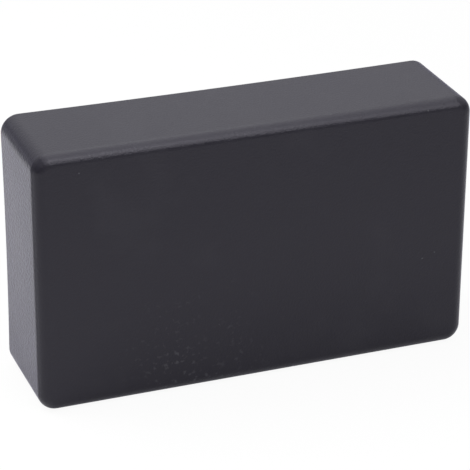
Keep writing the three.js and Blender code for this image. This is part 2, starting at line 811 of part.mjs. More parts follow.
// A bent steel channel: cheeks beside the core, and two raised tabs beyond the coil.
function coreBracket() {
  const t = BRACKET_THICKNESS;
  const channel = new THREE.Shape();
  const inner = CHEEK_OUTER - t;
  const cheekTop = SEAT + BRACKET_CHEEK;
  const half = [
    [CHEEK_OUTER, SEAT],
    [CHEEK_OUTER, cheekTop],
    [inner, cheekTop],
    [inner, SEAT + t],
  ];
  const mirrored = half.map(([x, y]) => [-x, y]).reverse();
  channel.setFromPoints([...half, ...mirrored].map(([x, y]) => new THREE.Vector2(x, y)));
  const cheeks = new THREE.ExtrudeGeometry(channel, {
    depth: BRACKET_WIDTH,
    bevelEnabled: false,
  });
  cheeks.translate(0, 0, -BRACKET_WIDTH / 2);

  const strap = new THREE.Shape();
  const tabEnd = BRACKET_SCREW_Z + BRACKET_TAB_END;
  const rampEnd = BRACKET_SCREW_Z - BRACKET_TAB_END;
  const rampStart = rampEnd - BRACKET_RAMP;
  const low = SEAT;
  const high = SEAT + BRACKET_TAB_RISE;
  const rightSide = [
    [rampStart, low],
    [rampEnd, high],
    [tabEnd, high],
    [tabEnd, high + t],
    [rampEnd, high + t],
    [rampStart, low + t],
  ];
  const leftSide = rightSide.map(([z, y]) => [-z, y]).reverse();
  strap.setFromPoints([...rightSide, ...leftSide].map(([z, y]) => new THREE.Vector2(z, y)));
  const holes = [-1, 1].map((side) =>
    rod(BASE_SCREW_DIAMETER / 2 + FIT, 0, high + 2 * t, SMALL_ROUND).translate([
      0,
      0,
      side * BRACKET_SCREW_Z,
    ]),
  );
  const strapBar = bar(strap, -BRACKET_TAB_WIDTH / 2, BRACKET_TAB_WIDTH);
  return cut(joined(solid(cheeks), strapBar), ...holes);
}

const BRACKET_TAB_TOP = SEAT + BRACKET_TAB_RISE + BRACKET_THICKNESS;

const core = group(
  CORE_X,
  FLOOR_Y,
  MIDDLE_Z,
  piece("core_laminations", coreLaminations(), MATERIALS.coreSteel),
  piece("core_bracket", coreBracket(), MATERIALS.zincSteel),
  ...[-1, 1].map((side, i) =>
    piece(
      `bracket_screw_${i + 1}`,
      baseScrew(BRACKET_THICKNESS),
      MATERIALS.zincSteel,
      0,
      BRACKET_TAB_TOP + SEAT,
      side * BRACKET_SCREW_Z,
    ),
  ),
  piece("coil_bobbin", coilBobbin(), MATERIALS.whiteNylon),
  piece("coil_winding", coilWinding(), MATERIALS.copper),
  piece("coil_tape", coilTape(), MATERIALS.amberTape),
  ...pinPlaces.map(({ x, z }, i) =>
    piece(`coil_pin_${i + 1}`, coilPin(), MATERIALS.nickel, x, PIN_FOOT, z),
  ),
  piece("thermal_fuse", thermalFuse(), MATERIALS.nickel, 0, THERMAL_Y, THERMAL_Z),
);

// ---------------------------------------------------------------- push-button switch

// Local frame: the axis is Y, and y = 0 is the seat that the bezel rests on.
const SKIRT_TOP = BEZEL_HEIGHT + SEAT - RETAINING_LIP - SKIRT_REST_GAP;
const SKIRT_BOTTOM = SKIRT_TOP - SKIRT_HEIGHT;
const BRIDGE_TOP = SKIRT_BOTTOM - SEAT;
const BRIDGE_BOTTOM = BRIDGE_TOP - BRIDGE_THICKNESS;
const CONTACT_Y = BRIDGE_BOTTOM - TRAVEL - CONTACT_REST_GAP;
const SWITCH_FLOOR = -SWITCH_DEPTH + SWITCH_SPIGOT;
const SWITCH_BASE_BOTTOM = -SWITCH_DEPTH - SEAT - SWITCH_BASE_THICKNESS;
const LUG_BOTTOM = SWITCH_BASE_BOTTOM - LUG_LENGTH;

function switchBody() {
  const bezelTop = SEAT + BEZEL_HEIGHT;
  const bezel = BEZEL_DIAMETER / 2;
  const bushing = BUSHING_DIAMETER / 2;
  const body = SWITCH_BODY_DIAMETER / 2;
  const chamber = CHAMBER_DIAMETER / 2;
  const mouth = CAP_DIAMETER / 2 + FIT;
  const lipBottom = bezelTop - RETAINING_LIP;
  return turnedRing(
    [
      [chamber, -SWITCH_DEPTH],
      [body, -SWITCH_DEPTH],
      [body, -BUSHING_LENGTH],
      [bushing, -BUSHING_LENGTH],
      [bushing, SEAT],
      [bezel, SEAT],
      [bezel, bezelTop - BEZEL_FILLET],
      [bezel - 0.3 * BEZEL_FILLET, bezelTop - 0.3 * BEZEL_FILLET],
      [bezel - BEZEL_FILLET, bezelTop],
      [mouth, bezelTop],
      [mouth, lipBottom],
      [chamber, lipBottom],
    ],
    BIG_ROUND,
  );
}

function switchBase() {
  const wafer = turned(
    [
      [0, SWITCH_BASE_BOTTOM],
      [SWITCH_BODY_DIAMETER / 2, SWITCH_BASE_BOTTOM],
      [SWITCH_BODY_DIAMETER / 2, -SWITCH_DEPTH - SEAT],
      [CHAMBER_DIAMETER / 2 - SEAT, -SWITCH_DEPTH - SEAT],
      [CHAMBER_DIAMETER / 2 - SEAT, SWITCH_FLOOR],
      [0, SWITCH_FLOOR],
    ],
    BIG_ROUND,
  );
  const slots = [-1, 1].map((side) => {
    const middle = side * TERMINAL_OFFSET;
    const half = TERMINAL_THICKNESS / 2 + SEAT;
    const width = TERMINAL_WIDTH / 2 + SEAT;
    return block(
      [middle - half, SWITCH_BASE_BOTTOM - 1, -width],
      [middle + half, SWITCH_FLOOR + 1, width],
    );
  });
  return cut(wafer, ...slots);
}

// A strip that rises from its lug to a contact tip bent in towards the axis.
function switchTerminal(side) {
  const half = TERMINAL_THICKNESS / 2;
  const strip = new THREE.Shape();
  const points = [
    [TERMINAL_OFFSET - half, LUG_BOTTOM],
    [TERMINAL_OFFSET + half, LUG_BOTTOM],
    [TERMINAL_OFFSET + half, CONTACT_Y],
    [TERMINAL_OFFSET - half - TERMINAL_TIP, CONTACT_Y],
    [TERMINAL_OFFSET - half - TERMINAL_TIP, CONTACT_Y - TERMINAL_THICKNESS],
    [TERMINAL_OFFSET - half, CONTACT_Y - TERMINAL_THICKNESS],
  ];
  strip.setFromPoints(points.map(([x, y]) => new THREE.Vector2(x, y)));
  const made = new THREE.ExtrudeGeometry(strip, { depth: TERMINAL_WIDTH, bevelEnabled: false });
  made.translate(0, 0, -TERMINAL_WIDTH / 2);
  if (side < 0) made.rotateY(Math.PI);
  return made;
}

function switchNut() {
  const top = -LID_AT_SEAT - 2 * SEAT - WASHER_THICKNESS;
  const corners = circle(NUT_FLATS / Math.sqrt(3), 6);
  corners.holes.push(new THREE.Path(circle(BUSHING_DIAMETER / 2 + SEAT, ROUND).getPoints()));
  return slab(corners, top, NUT_THICKNESS);
}

function switchWasher() {
  const top = -LID_AT_SEAT - SEAT;
  const bottom = top - WASHER_THICKNESS;
  const inner = BUSHING_DIAMETER / 2 + SEAT;
  const outer = WASHER_DIAMETER / 2;
  return turnedRing([[inner, bottom], [outer, bottom], [outer, top], [inner, top]], ROUND);
}

function buttonCap() {
  const top = SEAT + BEZEL_HEIGHT + CAP_PROUD;
  const cap = CAP_DIAMETER / 2;
  return turned(
    [
      [0, SKIRT_BOTTOM - STEM_LENGTH],
      [STEM_DIAMETER / 2, SKIRT_BOTTOM - STEM_LENGTH],
      [STEM_DIAMETER / 2, SKIRT_BOTTOM],
      [SKIRT_DIAMETER / 2, SKIRT_BOTTOM],
      [SKIRT_DIAMETER / 2, SKIRT_TOP],
      [cap, SKIRT_TOP],
      [cap, top - 2 * CAP_CROWN],
      [cap - 0.3 * CAP_CROWN, top - 1.3 * CAP_CROWN],
      [cap - CAP_CROWN, top - 0.7 * CAP_CROWN],
      [cap / 2, top - 0.2 * CAP_CROWN],
      [0, top],
    ],
    BIG_ROUND,
  );
}

function contactBridge() {
  const strip = block(
    [-BRIDGE_LENGTH / 2, BRIDGE_BOTTOM, -BRIDGE_WIDTH / 2],
    [BRIDGE_LENGTH / 2, BRIDGE_TOP, BRIDGE_WIDTH / 2],
  );
  const eye = rod(SPRING_RADIUS + SPRING_WIRE / 2 + SEAT, BRIDGE_BOTTOM, BRIDGE_TOP, SMALL_ROUND);
  const hole = rod(STEM_DIAMETER / 2 + SEAT, BRIDGE_BOTTOM - 1, BRIDGE_TOP + 1, SMALL_ROUND);
  return cut(joined(strip, eye), hole);
}

class Helix extends THREE.Curve {
  constructor(radius, bottom, top, turns) {
    super();
    this.radius = radius;
    this.bottom = bottom;
    this.top = top;
    this.turns = turns;
  }

  getPoint(share, target = new THREE.Vector3()) {
    const angle = 2 * Math.PI * this.turns * share;
    return target.set(
      this.radius * Math.cos(angle),
      this.bottom + share * (this.top - this.bottom),
      this.radius * Math.sin(angle),
    );
  }
}

// The least gap between a wound wire and itself, from points at least half a turn apart.
function leastSelfGap(path, turns, wire) {
  const stepsPerTurn = 24;
  const points = path.getPoints(turns * stepsPerTurn);
  let least = Infinity;
  points.forEach((a, i) => {
    points.slice(i + stepsPerTurn / 2).forEach((b) => {
      least = Math.min(least, a.distanceTo(b) - wire);
    });
  });
  return least;
}

function buttonSpring() {
  const wire = SPRING_WIRE / 2;
  const path = new Helix(
    SPRING_RADIUS,
    SWITCH_FLOOR + SEAT + wire,
    BRIDGE_BOTTOM - SEAT - wire,
    SPRING_TURNS,
  );
  const gap = leastSelfGap(path, SPRING_TURNS, SPRING_WIRE);
  console.log(`button spring: least gap to itself ${gap.toFixed(2)} mm`);
  return tubeAlong(path, wire, 5, 8 * SPRING_TURNS);
}

const pushButton = group(
  SWITCH_X,
  BEZEL_SEAT_Y,
  SWITCH_Z,
  piece("switch_body", switchBody(), MATERIALS.nickel),
  piece("switch_base", switchBase(), MATERIALS.blackPlastic),
  piece("switch_washer", switchWasher(), MATERIALS.zincSteel),
  piece("switch_nut", switchNut(), MATERIALS.nickel),
  piece("switch_terminal_1", switchTerminal(-1), MATERIALS.brass),
  piece("switch_terminal_2", switchTerminal(1), MATERIALS.brass),
  piece("button_cap", buttonCap(), MATERIALS.redButton),
  piece("contact_bridge", contactBridge(), MATERIALS.brass),
  piece("button_spring", buttonSpring(), MATERIALS.springSteel),
);

// ---------------------------------------------------------------- lamp

// Local frame: the axis is Y, and y = 0 is the seat that the bezel rests on.
const LED_BOTTOM = LED_PROUD - LED_LENGTH;
const BOARD_BELOW_SEAT = BOARD_TOP_Y - BEZEL_SEAT_Y;

function ledLamp() {
  const lens = LED_DIAMETER / 2;
  const shoulder = LED_PROUD - lens;
  const dome = [0, 1, 2, 3, 4, 5].map((i) => {
    const angle = (i * Math.PI) / 10;
    return [lens * Math.cos(angle), shoulder + lens * Math.sin(angle)];
  });
  return turned(
    [
      [0, LED_BOTTOM],
      [LED_FLANGE_DIAMETER / 2, LED_BOTTOM],
      [LED_FLANGE_DIAMETER / 2, LED_BOTTOM + LED_FLANGE_HEIGHT],
      [lens, LED_BOTTOM + LED_FLANGE_HEIGHT],
      ...dome,
    ],
    ROUND,
  );
}

function ledBezel() {
  const bore = LED_DIAMETER / 2 + SEAT;
  const ring = LED_BEZEL_DIAMETER / 2;
  const collarRadius = LED_COLLAR_DIAMETER / 2;
  const top = SEAT + LED_BEZEL_HEIGHT;
  return turnedRing(
    [
      [bore, -LED_COLLAR_DEPTH],
      [collarRadius, -LED_COLLAR_DEPTH],
      [collarRadius, SEAT],
      [ring, SEAT],
      [ring, SEAT + LED_BEZEL_HEIGHT / 2],
      [ring - LED_BEZEL_HEIGHT / 2, top],
      [bore, top],
    ],
    ROUND,
  );
}

function ledSpacer() {
  const top = LED_BOTTOM - SEAT;
  const column = rod(LED_SPACER_DIAMETER / 2, BOARD_BELOW_SEAT + SEAT, top, SMALL_ROUND);
  const bores = [-1, 1].map((side) =>
    rod(LED_LEAD / 2 + FIT, BOARD_BELOW_SEAT, top + 1, TINY_ROUND).translate([
      (side * LED_PITCH) / 2,
      0,
      0,
    ]),
  );
  return cut(column, ...bores);
}

function ledLead() {
  const half = LED_LEAD / 2;
  return block([-half, BOARD_BELOW_SEAT + SEAT, -half], [half, LED_BOTTOM - SEAT, half]);
}

const lamp = group(
  SWITCH_X,
  BEZEL_SEAT_Y,
  LED_Z,
  piece("led_lamp", ledLamp(), MATERIALS.redLens),
  piece("led_bezel", ledBezel(), MATERIALS.nickel),
  piece("led_spacer", ledSpacer(), MATERIALS.blackPlastic),
  piece("led_lead_1", ledLead(), MATERIALS.nickel, -LED_PITCH / 2),
  piece("led_lead_2", ledLead(), MATERIALS.nickel, LED_PITCH / 2),
);

// ---------------------------------------------------------------- circuit board

// Local frame: the board's centre, and y = 0 is its upper face.
function circuitBoard() {
  const plate = slab(roundedRect(BOARD_WIDTH, BOARD_HEIGHT, 1), 0, BOARD_THICKNESS);
  const holes = [-1, 1].map((side) =>
    rod(BASE_SCREW_DIAMETER / 2 + FIT, -2 * BOARD_THICKNESS, 1, SMALL_ROUND).translate([
      side * (BOARD_WIDTH / 2 - BOARD_SCREW_INSET),
      0,
      -BOARD_HEIGHT / 2 + BOARD_SCREW_INSET,
    ]),
  );
  return cut(plate, ...holes);
}

// An end cap of the fuse: a cup, open towards +X.
function fuseCap() {
  const outer = FUSE_DIAMETER / 2;
  const inner = outer - FUSE_CAP_WALL;
  return turned(
    [
      [0, 0],
      [outer, 0],
      [outer, FUSE_CAP_LENGTH],
      [inner, FUSE_CAP_LENGTH],
      [inner, FUSE_CAP_WALL],
      [0, FUSE_CAP_WALL],
    ],
    ROUND,
  ).rotate([0, 0, -90]);
}

function fuseTube() {
  const outer = FUSE_DIAMETER / 2 - FUSE_CAP_WALL - SEAT;
  const inner = outer - FUSE_GLASS_WALL;
  const half = FUSE_LENGTH / 2 - FUSE_CAP_WALL - SEAT;
  return turnedRing([[inner, -half], [outer, -half], [outer, half], [inner, half]], ROUND).rotate([
    0, 0, 90,
  ]);
}

// A spring clip: a band round the fuse, open at the top, on a flat foot.
function fuseClip() {
  const inner = FUSE_DIAMETER / 2 + SEAT;
  const outer = inner + CLIP_THICKNESS;
  const opening = 0.8; // half angle of the mouth, in radians
  const from = Math.PI / 2 + opening;
  const to = Math.PI / 2 - opening + 2 * Math.PI;
  const band = new THREE.Shape();
  band.absarc(0, 0, outer, from, to, false);
  band.absarc(0, 0, inner, to, from, true);
  const arms = new THREE.ExtrudeGeometry(band, {
    depth: CLIP_WIDTH,
    curveSegments: 12,
    bevelEnabled: false,
  });
  arms.rotateY(Math.PI / 2);
  arms.translate(-CLIP_WIDTH / 2, 0, 0);
  const foot = block(
    [-CLIP_WIDTH / 2, -FUSE_AXIS_HEIGHT + SEAT, -CLIP_FOOT / 2],
    [CLIP_WIDTH / 2, -FUSE_AXIS_HEIGHT + SEAT + CLIP_THICKNESS, CLIP_FOOT / 2],
  );
  const web = block(
    [-CLIP_WIDTH / 2, -FUSE_AXIS_HEIGHT + SEAT, -CLIP_FOOT / 4],
    [CLIP_WIDTH / 2, -outer + CLIP_THICKNESS / 2, CLIP_FOOT / 4],
  );
  return joined(solid(arms), foot, web);
}

function filmCapacitor() {
  const { width, height, rise } = CAPACITOR;
  return slab(
    roundedRect(width, height, CAPACITOR_FILLET * 1.5),
    SEAT + rise,
    rise,
    CAPACITOR_FILLET,
    2,
  );
}

// A body along Z on two leads that bend down to the board.
function axialPart({ diameter, length, pitch, lead }, waist) {
  const radius = diameter / 2;
  const height = radius + 0.6;
  const end = length / 2;
  const body = turned(
    [
      [0, -end],
      [radius - 0.4, -end],
      [radius, -end + 0.4],
      [radius, -end + 0.25 * length],
      [waist * radius, -end + 0.32 * length],
      [waist * radius, end - 0.32 * length],
      [radius, end - 0.25 * length],
      [radius, end - 0.4],
      [radius - 0.4, end],
      [0, end],
    ],
    SMALL_ROUND,
  )
    .rotate([90, 0, 0])
    .translate([0, height, 0]);
  const bend = Math.min(1, height / 2);
  const reach = pitch / 2;
  const route = [
    [0, SEAT, -reach],
    [0, height - bend, -reach],
    [0, height, -reach + bend],
    [0, height, 0],
    [0, height, reach - bend],
    [0, height - bend, reach],
    [0, SEAT, reach],
  ];
  const path = new THREE.CurvePath();
  const corner = (a, b, c) =>
    new THREE.QuadraticBezierCurve3(
      new THREE.Vector3(...a),
      new THREE.Vector3(...b),
      new THREE.Vector3(...c),
    );
  const straight = (a, b) => new THREE.LineCurve3(new THREE.Vector3(...a), new THREE.Vector3(...b));
  path.add(straight(route[0], route[1]));
  path.add(corner(route[1], [0, height, -reach], route[2]));
  path.add(straight(route[2], route[4]));
  path.add(corner(route[4], [0, height, reach], route[5]));
  path.add(straight(route[5], route[6]));
  return joined(body, solid(tubeAlong(path, lead / 2, 6, 28)));
}

function onBoard(name, made, material, { x, z }) {
  return piece(name, made, material, x, 0, z);
}

const fuseEnd = FUSE_LENGTH / 2;
const clipOffset = fuseEnd - FUSE_CAP_LENGTH / 2;
const capRight = piece(
  "fuse_cap_2",
  fuseCap(),
  MATERIALS.nickel,
  fuseEnd,
  FUSE_AXIS_HEIGHT,
  FUSE_PLACE_Z,
);
capRight.rotation.y = Math.PI;

const boardUnit = group(
  BOARD_X,
  BOARD_TOP_Y,
  BOARD_Z,
  piece("circuit_board", circuitBoard(), MATERIALS.boardGreen),
  ...[-1, 1].map((side, i) =>
    piece(
      `board_screw_${i + 1}`,
      baseScrew(BOARD_THICKNESS),
      MATERIALS.zincSteel,
      side * (BOARD_WIDTH / 2 - BOARD_SCREW_INSET),
      SEAT,
      -BOARD_HEIGHT / 2 + BOARD_SCREW_INSET,
    ),
  ),
  piece("fuse_tube", fuseTube(), MATERIALS.fuseGlass, 0, FUSE_AXIS_HEIGHT, FUSE_PLACE_Z),
  piece("fuse_cap_1", fuseCap(), MATERIALS.nickel, -fuseEnd, FUSE_AXIS_HEIGHT, FUSE_PLACE_Z),
  capRight,
  ...[-1, 1].map((side, i) =>
    piece(
      `fuse_clip_${i + 1}`,
      fuseClip(),
      MATERIALS.brass,
      side * clipOffset,
      FUSE_AXIS_HEIGHT,
      FUSE_PLACE_Z,
    ),
  ),
  onBoard("film_capacitor", filmCapacitor(), MATERIALS.filmYellow, CAPACITOR_PLACE),
  onBoard("dropper_resistor", axialPart(RESISTOR, 0.82), MATERIALS.resistorBlue, RESISTOR_PLACE),
  onBoard("diode", axialPart(DIODE, 1), MATERIALS.diodeBlack, DIODE_PLACE),
);

// ---------------------------------------------------------------- mains inlet

// Local frame: x = 0 is the inlet's face, which looks along +X.
const INLET_FLANGE_FRONT = INNER_X - SEAT - INLET_FRONT;

function inletBody() {
  const length = INLET_DEPTH + INLET_BACK;
  const snout = bar(roundedRect(INLET_SNOUT_Z, INLET_SNOUT_Y, INLET_CORNER), -length, length);
  const flange = bar(
    roundedRect(INLET_SNOUT_Z + 2 * INLET_FLANGE, INLET_SNOUT_Y + 2 * INLET_FLANGE, 1),
    INLET_FLANGE_FRONT - INLET_FLANGE_THICKNESS,
    INLET_FLANGE_THICKNESS,
  );
  const lobe = circle(INLET_LOBE / 2, ROUND);
  const lobes = [-1, 1].map((side) =>
    bar(lobe, -INLET_DEPTH, INLET_DEPTH + 1).translate([0, 0, (side * INLET_PITCH) / 2]),
  );
  const waist = block(
    [-INLET_DEPTH, -INLET_LOBE / 3, -INLET_PITCH / 2],
    [1, INLET_LOBE / 3, INLET_PITCH / 2],
  );
  const pinHole = circle(INLET_PIN_DIAMETER / 2 + SEAT, SMALL_ROUND);
  const pinHoles = [-1, 1].map((side) =>
    bar(pinHole, -length - 1, length).translate([0, 0, (side * INLET_PITCH) / 2]),
  );
  return cut(joined(snout, flange), ...lobes, waist, ...pinHoles);
}

// A round pin with a rounded nose, and a flattened lug behind the inlet.
function inletPin() {
  const radius = INLET_PIN_DIAMETER / 2;
  const rear = -INLET_DEPTH - INLET_BACK - INLET_LUG.length;
  const lugStart = rear + INLET_LUG.length - INLET_LUG.root;
  const pin = turned(
    [
      [0, lugStart],
      [radius, lugStart],
      [radius, -INLET_PIN_SETBACK - radius],
      [0.7 * radius, -INLET_PIN_SETBACK - 0.3 * radius],
      [0, -INLET_PIN_SETBACK],
    ],
    SMALL_ROUND,
  ).rotate([0, 0, -90]);
  const lug = block(
    [rear, -INLET_LUG.width / 2, -INLET_LUG.thickness / 2],
    [lugStart + INLET_LUG.root, INLET_LUG.width / 2, INLET_LUG.thickness / 2],
  );
  return joined(pin, lug);
}

const inlet = group(
  INLET_FRONT,
  0,
  MIDDLE_Z,
  piece("inlet_body", inletBody(), MATERIALS.blackPlastic),
  piece("inlet_pin_1", inletPin(), MATERIALS.nickel, 0, 0, -INLET_PITCH / 2),
  piece("inlet_pin_2", inletPin(), MATERIALS.nickel, 0, 0, INLET_PITCH / 2),
);

// ---------------------------------------------------------------- wires

// Insulated leads, each along its own route in the box. Ends stop just short of what
// they are soldered to.
function wire(name, route, material, steps = 18) {
  const path = new THREE.CatmullRomCurve3(route.map((point) => new THREE.Vector3(...point)));
  return piece(name, tubeAlong(path, WIRE_DIAMETER / 2, WIRE_SIDES, steps), material);
}

const padY = BOARD_TOP_Y + WIRE_GAP;
const rightPadX = BOARD_X + BOARD_WIDTH / 2 - PAD_INSET_X;
const leftPadX = BOARD_X - BOARD_WIDTH / 2 + PAD_INSET_X;
const topPadZ = BOARD_Z + BOARD_HEIGHT / 2 - PAD_INSET_Z;
const lugX = LUG_END_X - WIRE_GAP;
const liveZ = MIDDLE_Z - INLET_PITCH / 2;
const neutralZ = MIDDLE_Z + INLET_PITCH / 2;
const lugY = BEZEL_SEAT_Y + LUG_BOTTOM + LUG_LENGTH / 2;
const lugEdge = TERMINAL_WIDTH / 2 + WIRE_GAP;
const leftLugX = SWITCH_X - TERMINAL_OFFSET;
const rightLugX = SWITCH_X + TERMINAL_OFFSET;
const pinY = FLOOR_Y + PIN_FOOT + COIL_PIN_LENGTH - WIRE_DIAMETER;
const pinX = CORE_X + pinPlaces[0].x;
const pinReach = COIL_PIN_DIAMETER / 2 + WIRE_GAP;
const upperPinZ = MIDDLE_Z + pinPlaces[0].z;
const lowerPinZ = MIDDLE_Z + pinPlaces[1].z;
const thermalEnd = THERMAL_LENGTH / 2 + THERMAL_LEAD + WIRE_GAP;
const thermalY = FLOOR_Y + THERMAL_Y;
const thermalZ = MIDDLE_Z + THERMAL_Z;
const topWallZ = HEIGHT - WALL;

// From a pad on the board's upper edge to the near edge of a switch lug.
function boardToLug(name, x, material) {
  return wire(
    name,
    [
      [x, padY, topPadZ],
      [x, padY + 1.2, topPadZ + 0.3],
      [x, padY + 1.1, topPadZ + 1.8],
      [x, lugY + 0.6, SWITCH_Z - lugEdge - 3.2],
      [x, lugY, SWITCH_Z - lugEdge],
    ],
    material,
  );
}

const wires = group(
  0,
  0,
  0,
  wire(
    "wire_inlet_live",
    [
      [lugX, 0, liveZ],
      [lugX - 2, 0, liveZ - 0.4],
      [rightPadX + 1.6, padY + 3.2, BOARD_Z + 3.6],
      [rightPadX, padY + 1.8, BOARD_Z + 0.6],
      [rightPadX, padY, BOARD_Z + 0.4],
    ],
    MATERIALS.wireBrown,
  ),
  wire(
    "wire_inlet_neutral",
    [
      [lugX, 0, neutralZ],
      [lugX - 2, 0, neutralZ - 0.2],
      [rightPadX + 1.6, padY + 3.4, BOARD_Z + 12.2],
      [rightPadX, padY + 1.8, BOARD_Z + 9.2],
      [rightPadX, padY, BOARD_Z + 9],
    ],
    MATERIALS.wireBlue,
  ),
  boardToLug("wire_board_to_switch", leftLugX, MATERIALS.wireBrown),
  boardToLug("wire_switch_to_board", rightLugX, MATERIALS.wireRed),
  wire(
    "wire_switch_to_coil",
    [
      [rightLugX, lugY, SWITCH_Z + lugEdge],
      [rightLugX, lugY, SWITCH_Z + lugEdge + 1.6],
      [rightLugX - 4, lugY + 0.2, topWallZ - 4],
      [SWITCH_X - 12, thermalY - 6, topWallZ - 2.8],
      [CORE_X + 6, thermalY - 3, topWallZ - 2.4],
      [CORE_X - thermalEnd - 2.4, thermalY - 0.6, topWallZ - 3.4],
      [CORE_X - thermalEnd - 4.4, thermalY, thermalZ + 2.2],
      [CORE_X - thermalEnd - 2.2, thermalY, thermalZ + 0.2],
      [CORE_X - thermalEnd, thermalY, thermalZ],
    ],
    MATERIALS.wireRed,
    44,
  ),
  wire(
    "wire_thermal_to_coil",
    [
      [CORE_X + thermalEnd, thermalY, thermalZ],
      [CORE_X + thermalEnd + 2.2, thermalY, thermalZ - 0.1],
      [pinX + 3.2, pinY + 1.6, upperPinZ + 2.6],
      [pinX + 2.6, pinY + 0.2, upperPinZ + 0.3],
      [pinX + pinReach, pinY, upperPinZ],
    ],
    MATERIALS.wireWhite,
  ),
  wire(
    "wire_board_to_coil",
    [
      [leftPadX, padY, BOARD_Z + 1],
      [leftPadX, padY + 2.2, BOARD_Z + 0.6],
      [leftPadX - 1.8, padY + 5, BOARD_Z - 2.4],
      [pinX + pinReach + 2.2, pinY, lowerPinZ + 0.3],
      [pinX + pinReach, pinY, lowerPinZ],
    ],
    MATERIALS.wireBlue,
  ),
);

// ---------------------------------------------------------------- whole object

const demagnetizer = new THREE.Group();
demagnetizer.name = "demagnetizer";
demagnetizer.add(housing, core, pushButton, lamp, boardUnit, inlet, wires);

export default demagnetizer;
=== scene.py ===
"""The look of a hand-held mains demagnetizer for watches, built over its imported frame.

Sizes of the pieces and of the camera's stand are written in millimetres and turned into
metres where they are used, and the studio's are in metres. The sections follow the way the
real one goes together: tub, inlet, core and coil, board, leads, then the lid with its switch
and lamp, and the screws.
"""

import math

import bmesh
import bpy
from mathutils import Matrix, Vector


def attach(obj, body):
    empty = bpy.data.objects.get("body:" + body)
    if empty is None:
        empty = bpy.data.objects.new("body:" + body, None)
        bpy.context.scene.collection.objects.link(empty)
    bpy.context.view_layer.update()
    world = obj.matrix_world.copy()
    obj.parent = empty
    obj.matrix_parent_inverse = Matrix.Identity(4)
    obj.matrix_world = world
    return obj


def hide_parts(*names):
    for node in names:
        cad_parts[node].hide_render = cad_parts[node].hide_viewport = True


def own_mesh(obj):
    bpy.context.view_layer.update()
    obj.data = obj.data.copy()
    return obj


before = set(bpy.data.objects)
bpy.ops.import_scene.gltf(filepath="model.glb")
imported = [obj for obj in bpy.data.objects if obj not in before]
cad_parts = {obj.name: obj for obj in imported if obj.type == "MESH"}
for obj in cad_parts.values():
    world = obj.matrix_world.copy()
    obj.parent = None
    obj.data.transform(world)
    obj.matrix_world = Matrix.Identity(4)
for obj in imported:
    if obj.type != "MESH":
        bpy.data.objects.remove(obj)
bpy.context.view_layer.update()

# ------------------------------------------------------------------ camera
# The photographer's viewpoint: a long lens about half a metre away, a little above the
# box and to the left of its plain closed face, with a hair of roll.

MM = 0.001
SHOT = {"turn": -20.884, "rise": 25.416, "roll": 0.361, "distance": 520.32, "lens": 180.41,
        "film": 36, "nearest": 10}
AIM = Vector((-0.915, 0.0, 29.442)) * MM


def linked(name, data):
    """An object of this data, put into the scene."""
    thing = bpy.data.objects.new(name, data)
    bpy.context.scene.collection.objects.link(thing)
    return thing


turn, rise, roll = (math.radians(SHOT[k]) for k in ("turn", "rise", "roll"))
back = Vector((math.sin(turn) * math.cos(rise), -math.cos(turn) * math.cos(rise), math.sin(rise)))
right = Vector((0, 0, 1)).cross(back).normalized()
up = back.cross(right)
rolled_right = math.cos(roll) * right + math.sin(roll) * up
rolled_up = math.cos(roll) * up - math.sin(roll) * right
stand = Matrix((rolled_right, rolled_up, back)).transposed().to_4x4()
stand.translation = AIM + back * SHOT["distance"] * MM
lens = bpy.data.cameras.new("photo_lens")
lens.lens = SHOT["lens"]
lens.sensor_width = SHOT["film"]
lens.clip_start = SHOT["nearest"] * MM
camera = linked("photo_camera", lens)
camera.matrix_world = stand
bpy.context.scene.camera = camera

# ------------------------------------------------------------------ studio
# A wide pale table in a white room with a bright ceiling, under four soft boxes: overhead, in
# front on the right, a small one that puts a glint along the upper front edge, and one at the
# left to light the table. The table keeps the object's shadow.

TABLE_SIZE, TABLE_TONE = 8.0, (0.88, 0.88, 0.88)
TABLE_WHITE = {"clear": 0.93, "gloss": 0.19}
ROOM_LIGHT = 0.1
WALL_GLOSS, CEILING_GLOSS = 0.25, 1.0
CEILING_STARTS, CEILING_FULL = 0.16, 0.32


def fill(socket, value):
    """Gives a socket its value, or links another socket to it."""
    if isinstance(value, bpy.types.NodeSocket):
        socket.id_data.links.new(value, socket)
    elif hasattr(socket.default_value, "__len__") and len(value) < len(socket.default_value):
        socket.default_value = (*value, 1.0)
    else:
        socket.default_value = value


def add_node(tree, kind, values=None, **settings):
    """The outputs of a new node with these settings and values, by socket name or number."""
    node = tree.nodes.new(kind)
    for key, value in settings.items():
        setattr(node, key, value)
    for key, value in (values or {}).items():
        fill(node.inputs[key], value)
    return node.outputs


def worked(operation, first, *others):
    """The result of a sum or a comparison on a socket and other sockets or numbers."""
    return add_node(first.id_data, "ShaderNodeMath", dict(enumerate((first, *others))),
                    operation=operation)[0]


def ranged(value, low, high, to_low=0.0, to_high=1.0):
    """The value's stretch from low to high, spread from to_low to to_high."""
    return add_node(value.id_data, "ShaderNodeMapRange",
                    {"Value": value, "From Min": low, "From Max": high,
                     "To Min": to_low, "To Max": to_high})[0]


def part_of(vector, axis):
    """A vector's X, Y or Z."""
    return add_node(vector.id_data, "ShaderNodeSeparateXYZ", {"Vector": vector})[axis]


def blank_tree(owner):
    """The emptied node tree of a world or a material."""
    owner.use_nodes = True
    owner.node_tree.nodes.clear()
    return owner.node_tree


def seen_ray(tree, gloss, clear=1.0):
    """The share clear on a camera ray and one sent on through glass, gloss on one sent on by
    a shiny surface, and 0 on every other."""
    rays = add_node(tree, "ShaderNodeLightPath")
    straight = worked("MAXIMUM", rays["Is Camera Ray"], rays["Is Transmission Ray"])
    return worked("MAXIMUM", worked("MULTIPLY", straight, clear),
                  worked("MULTIPLY", rays["Is Glossy Ray"], gloss))


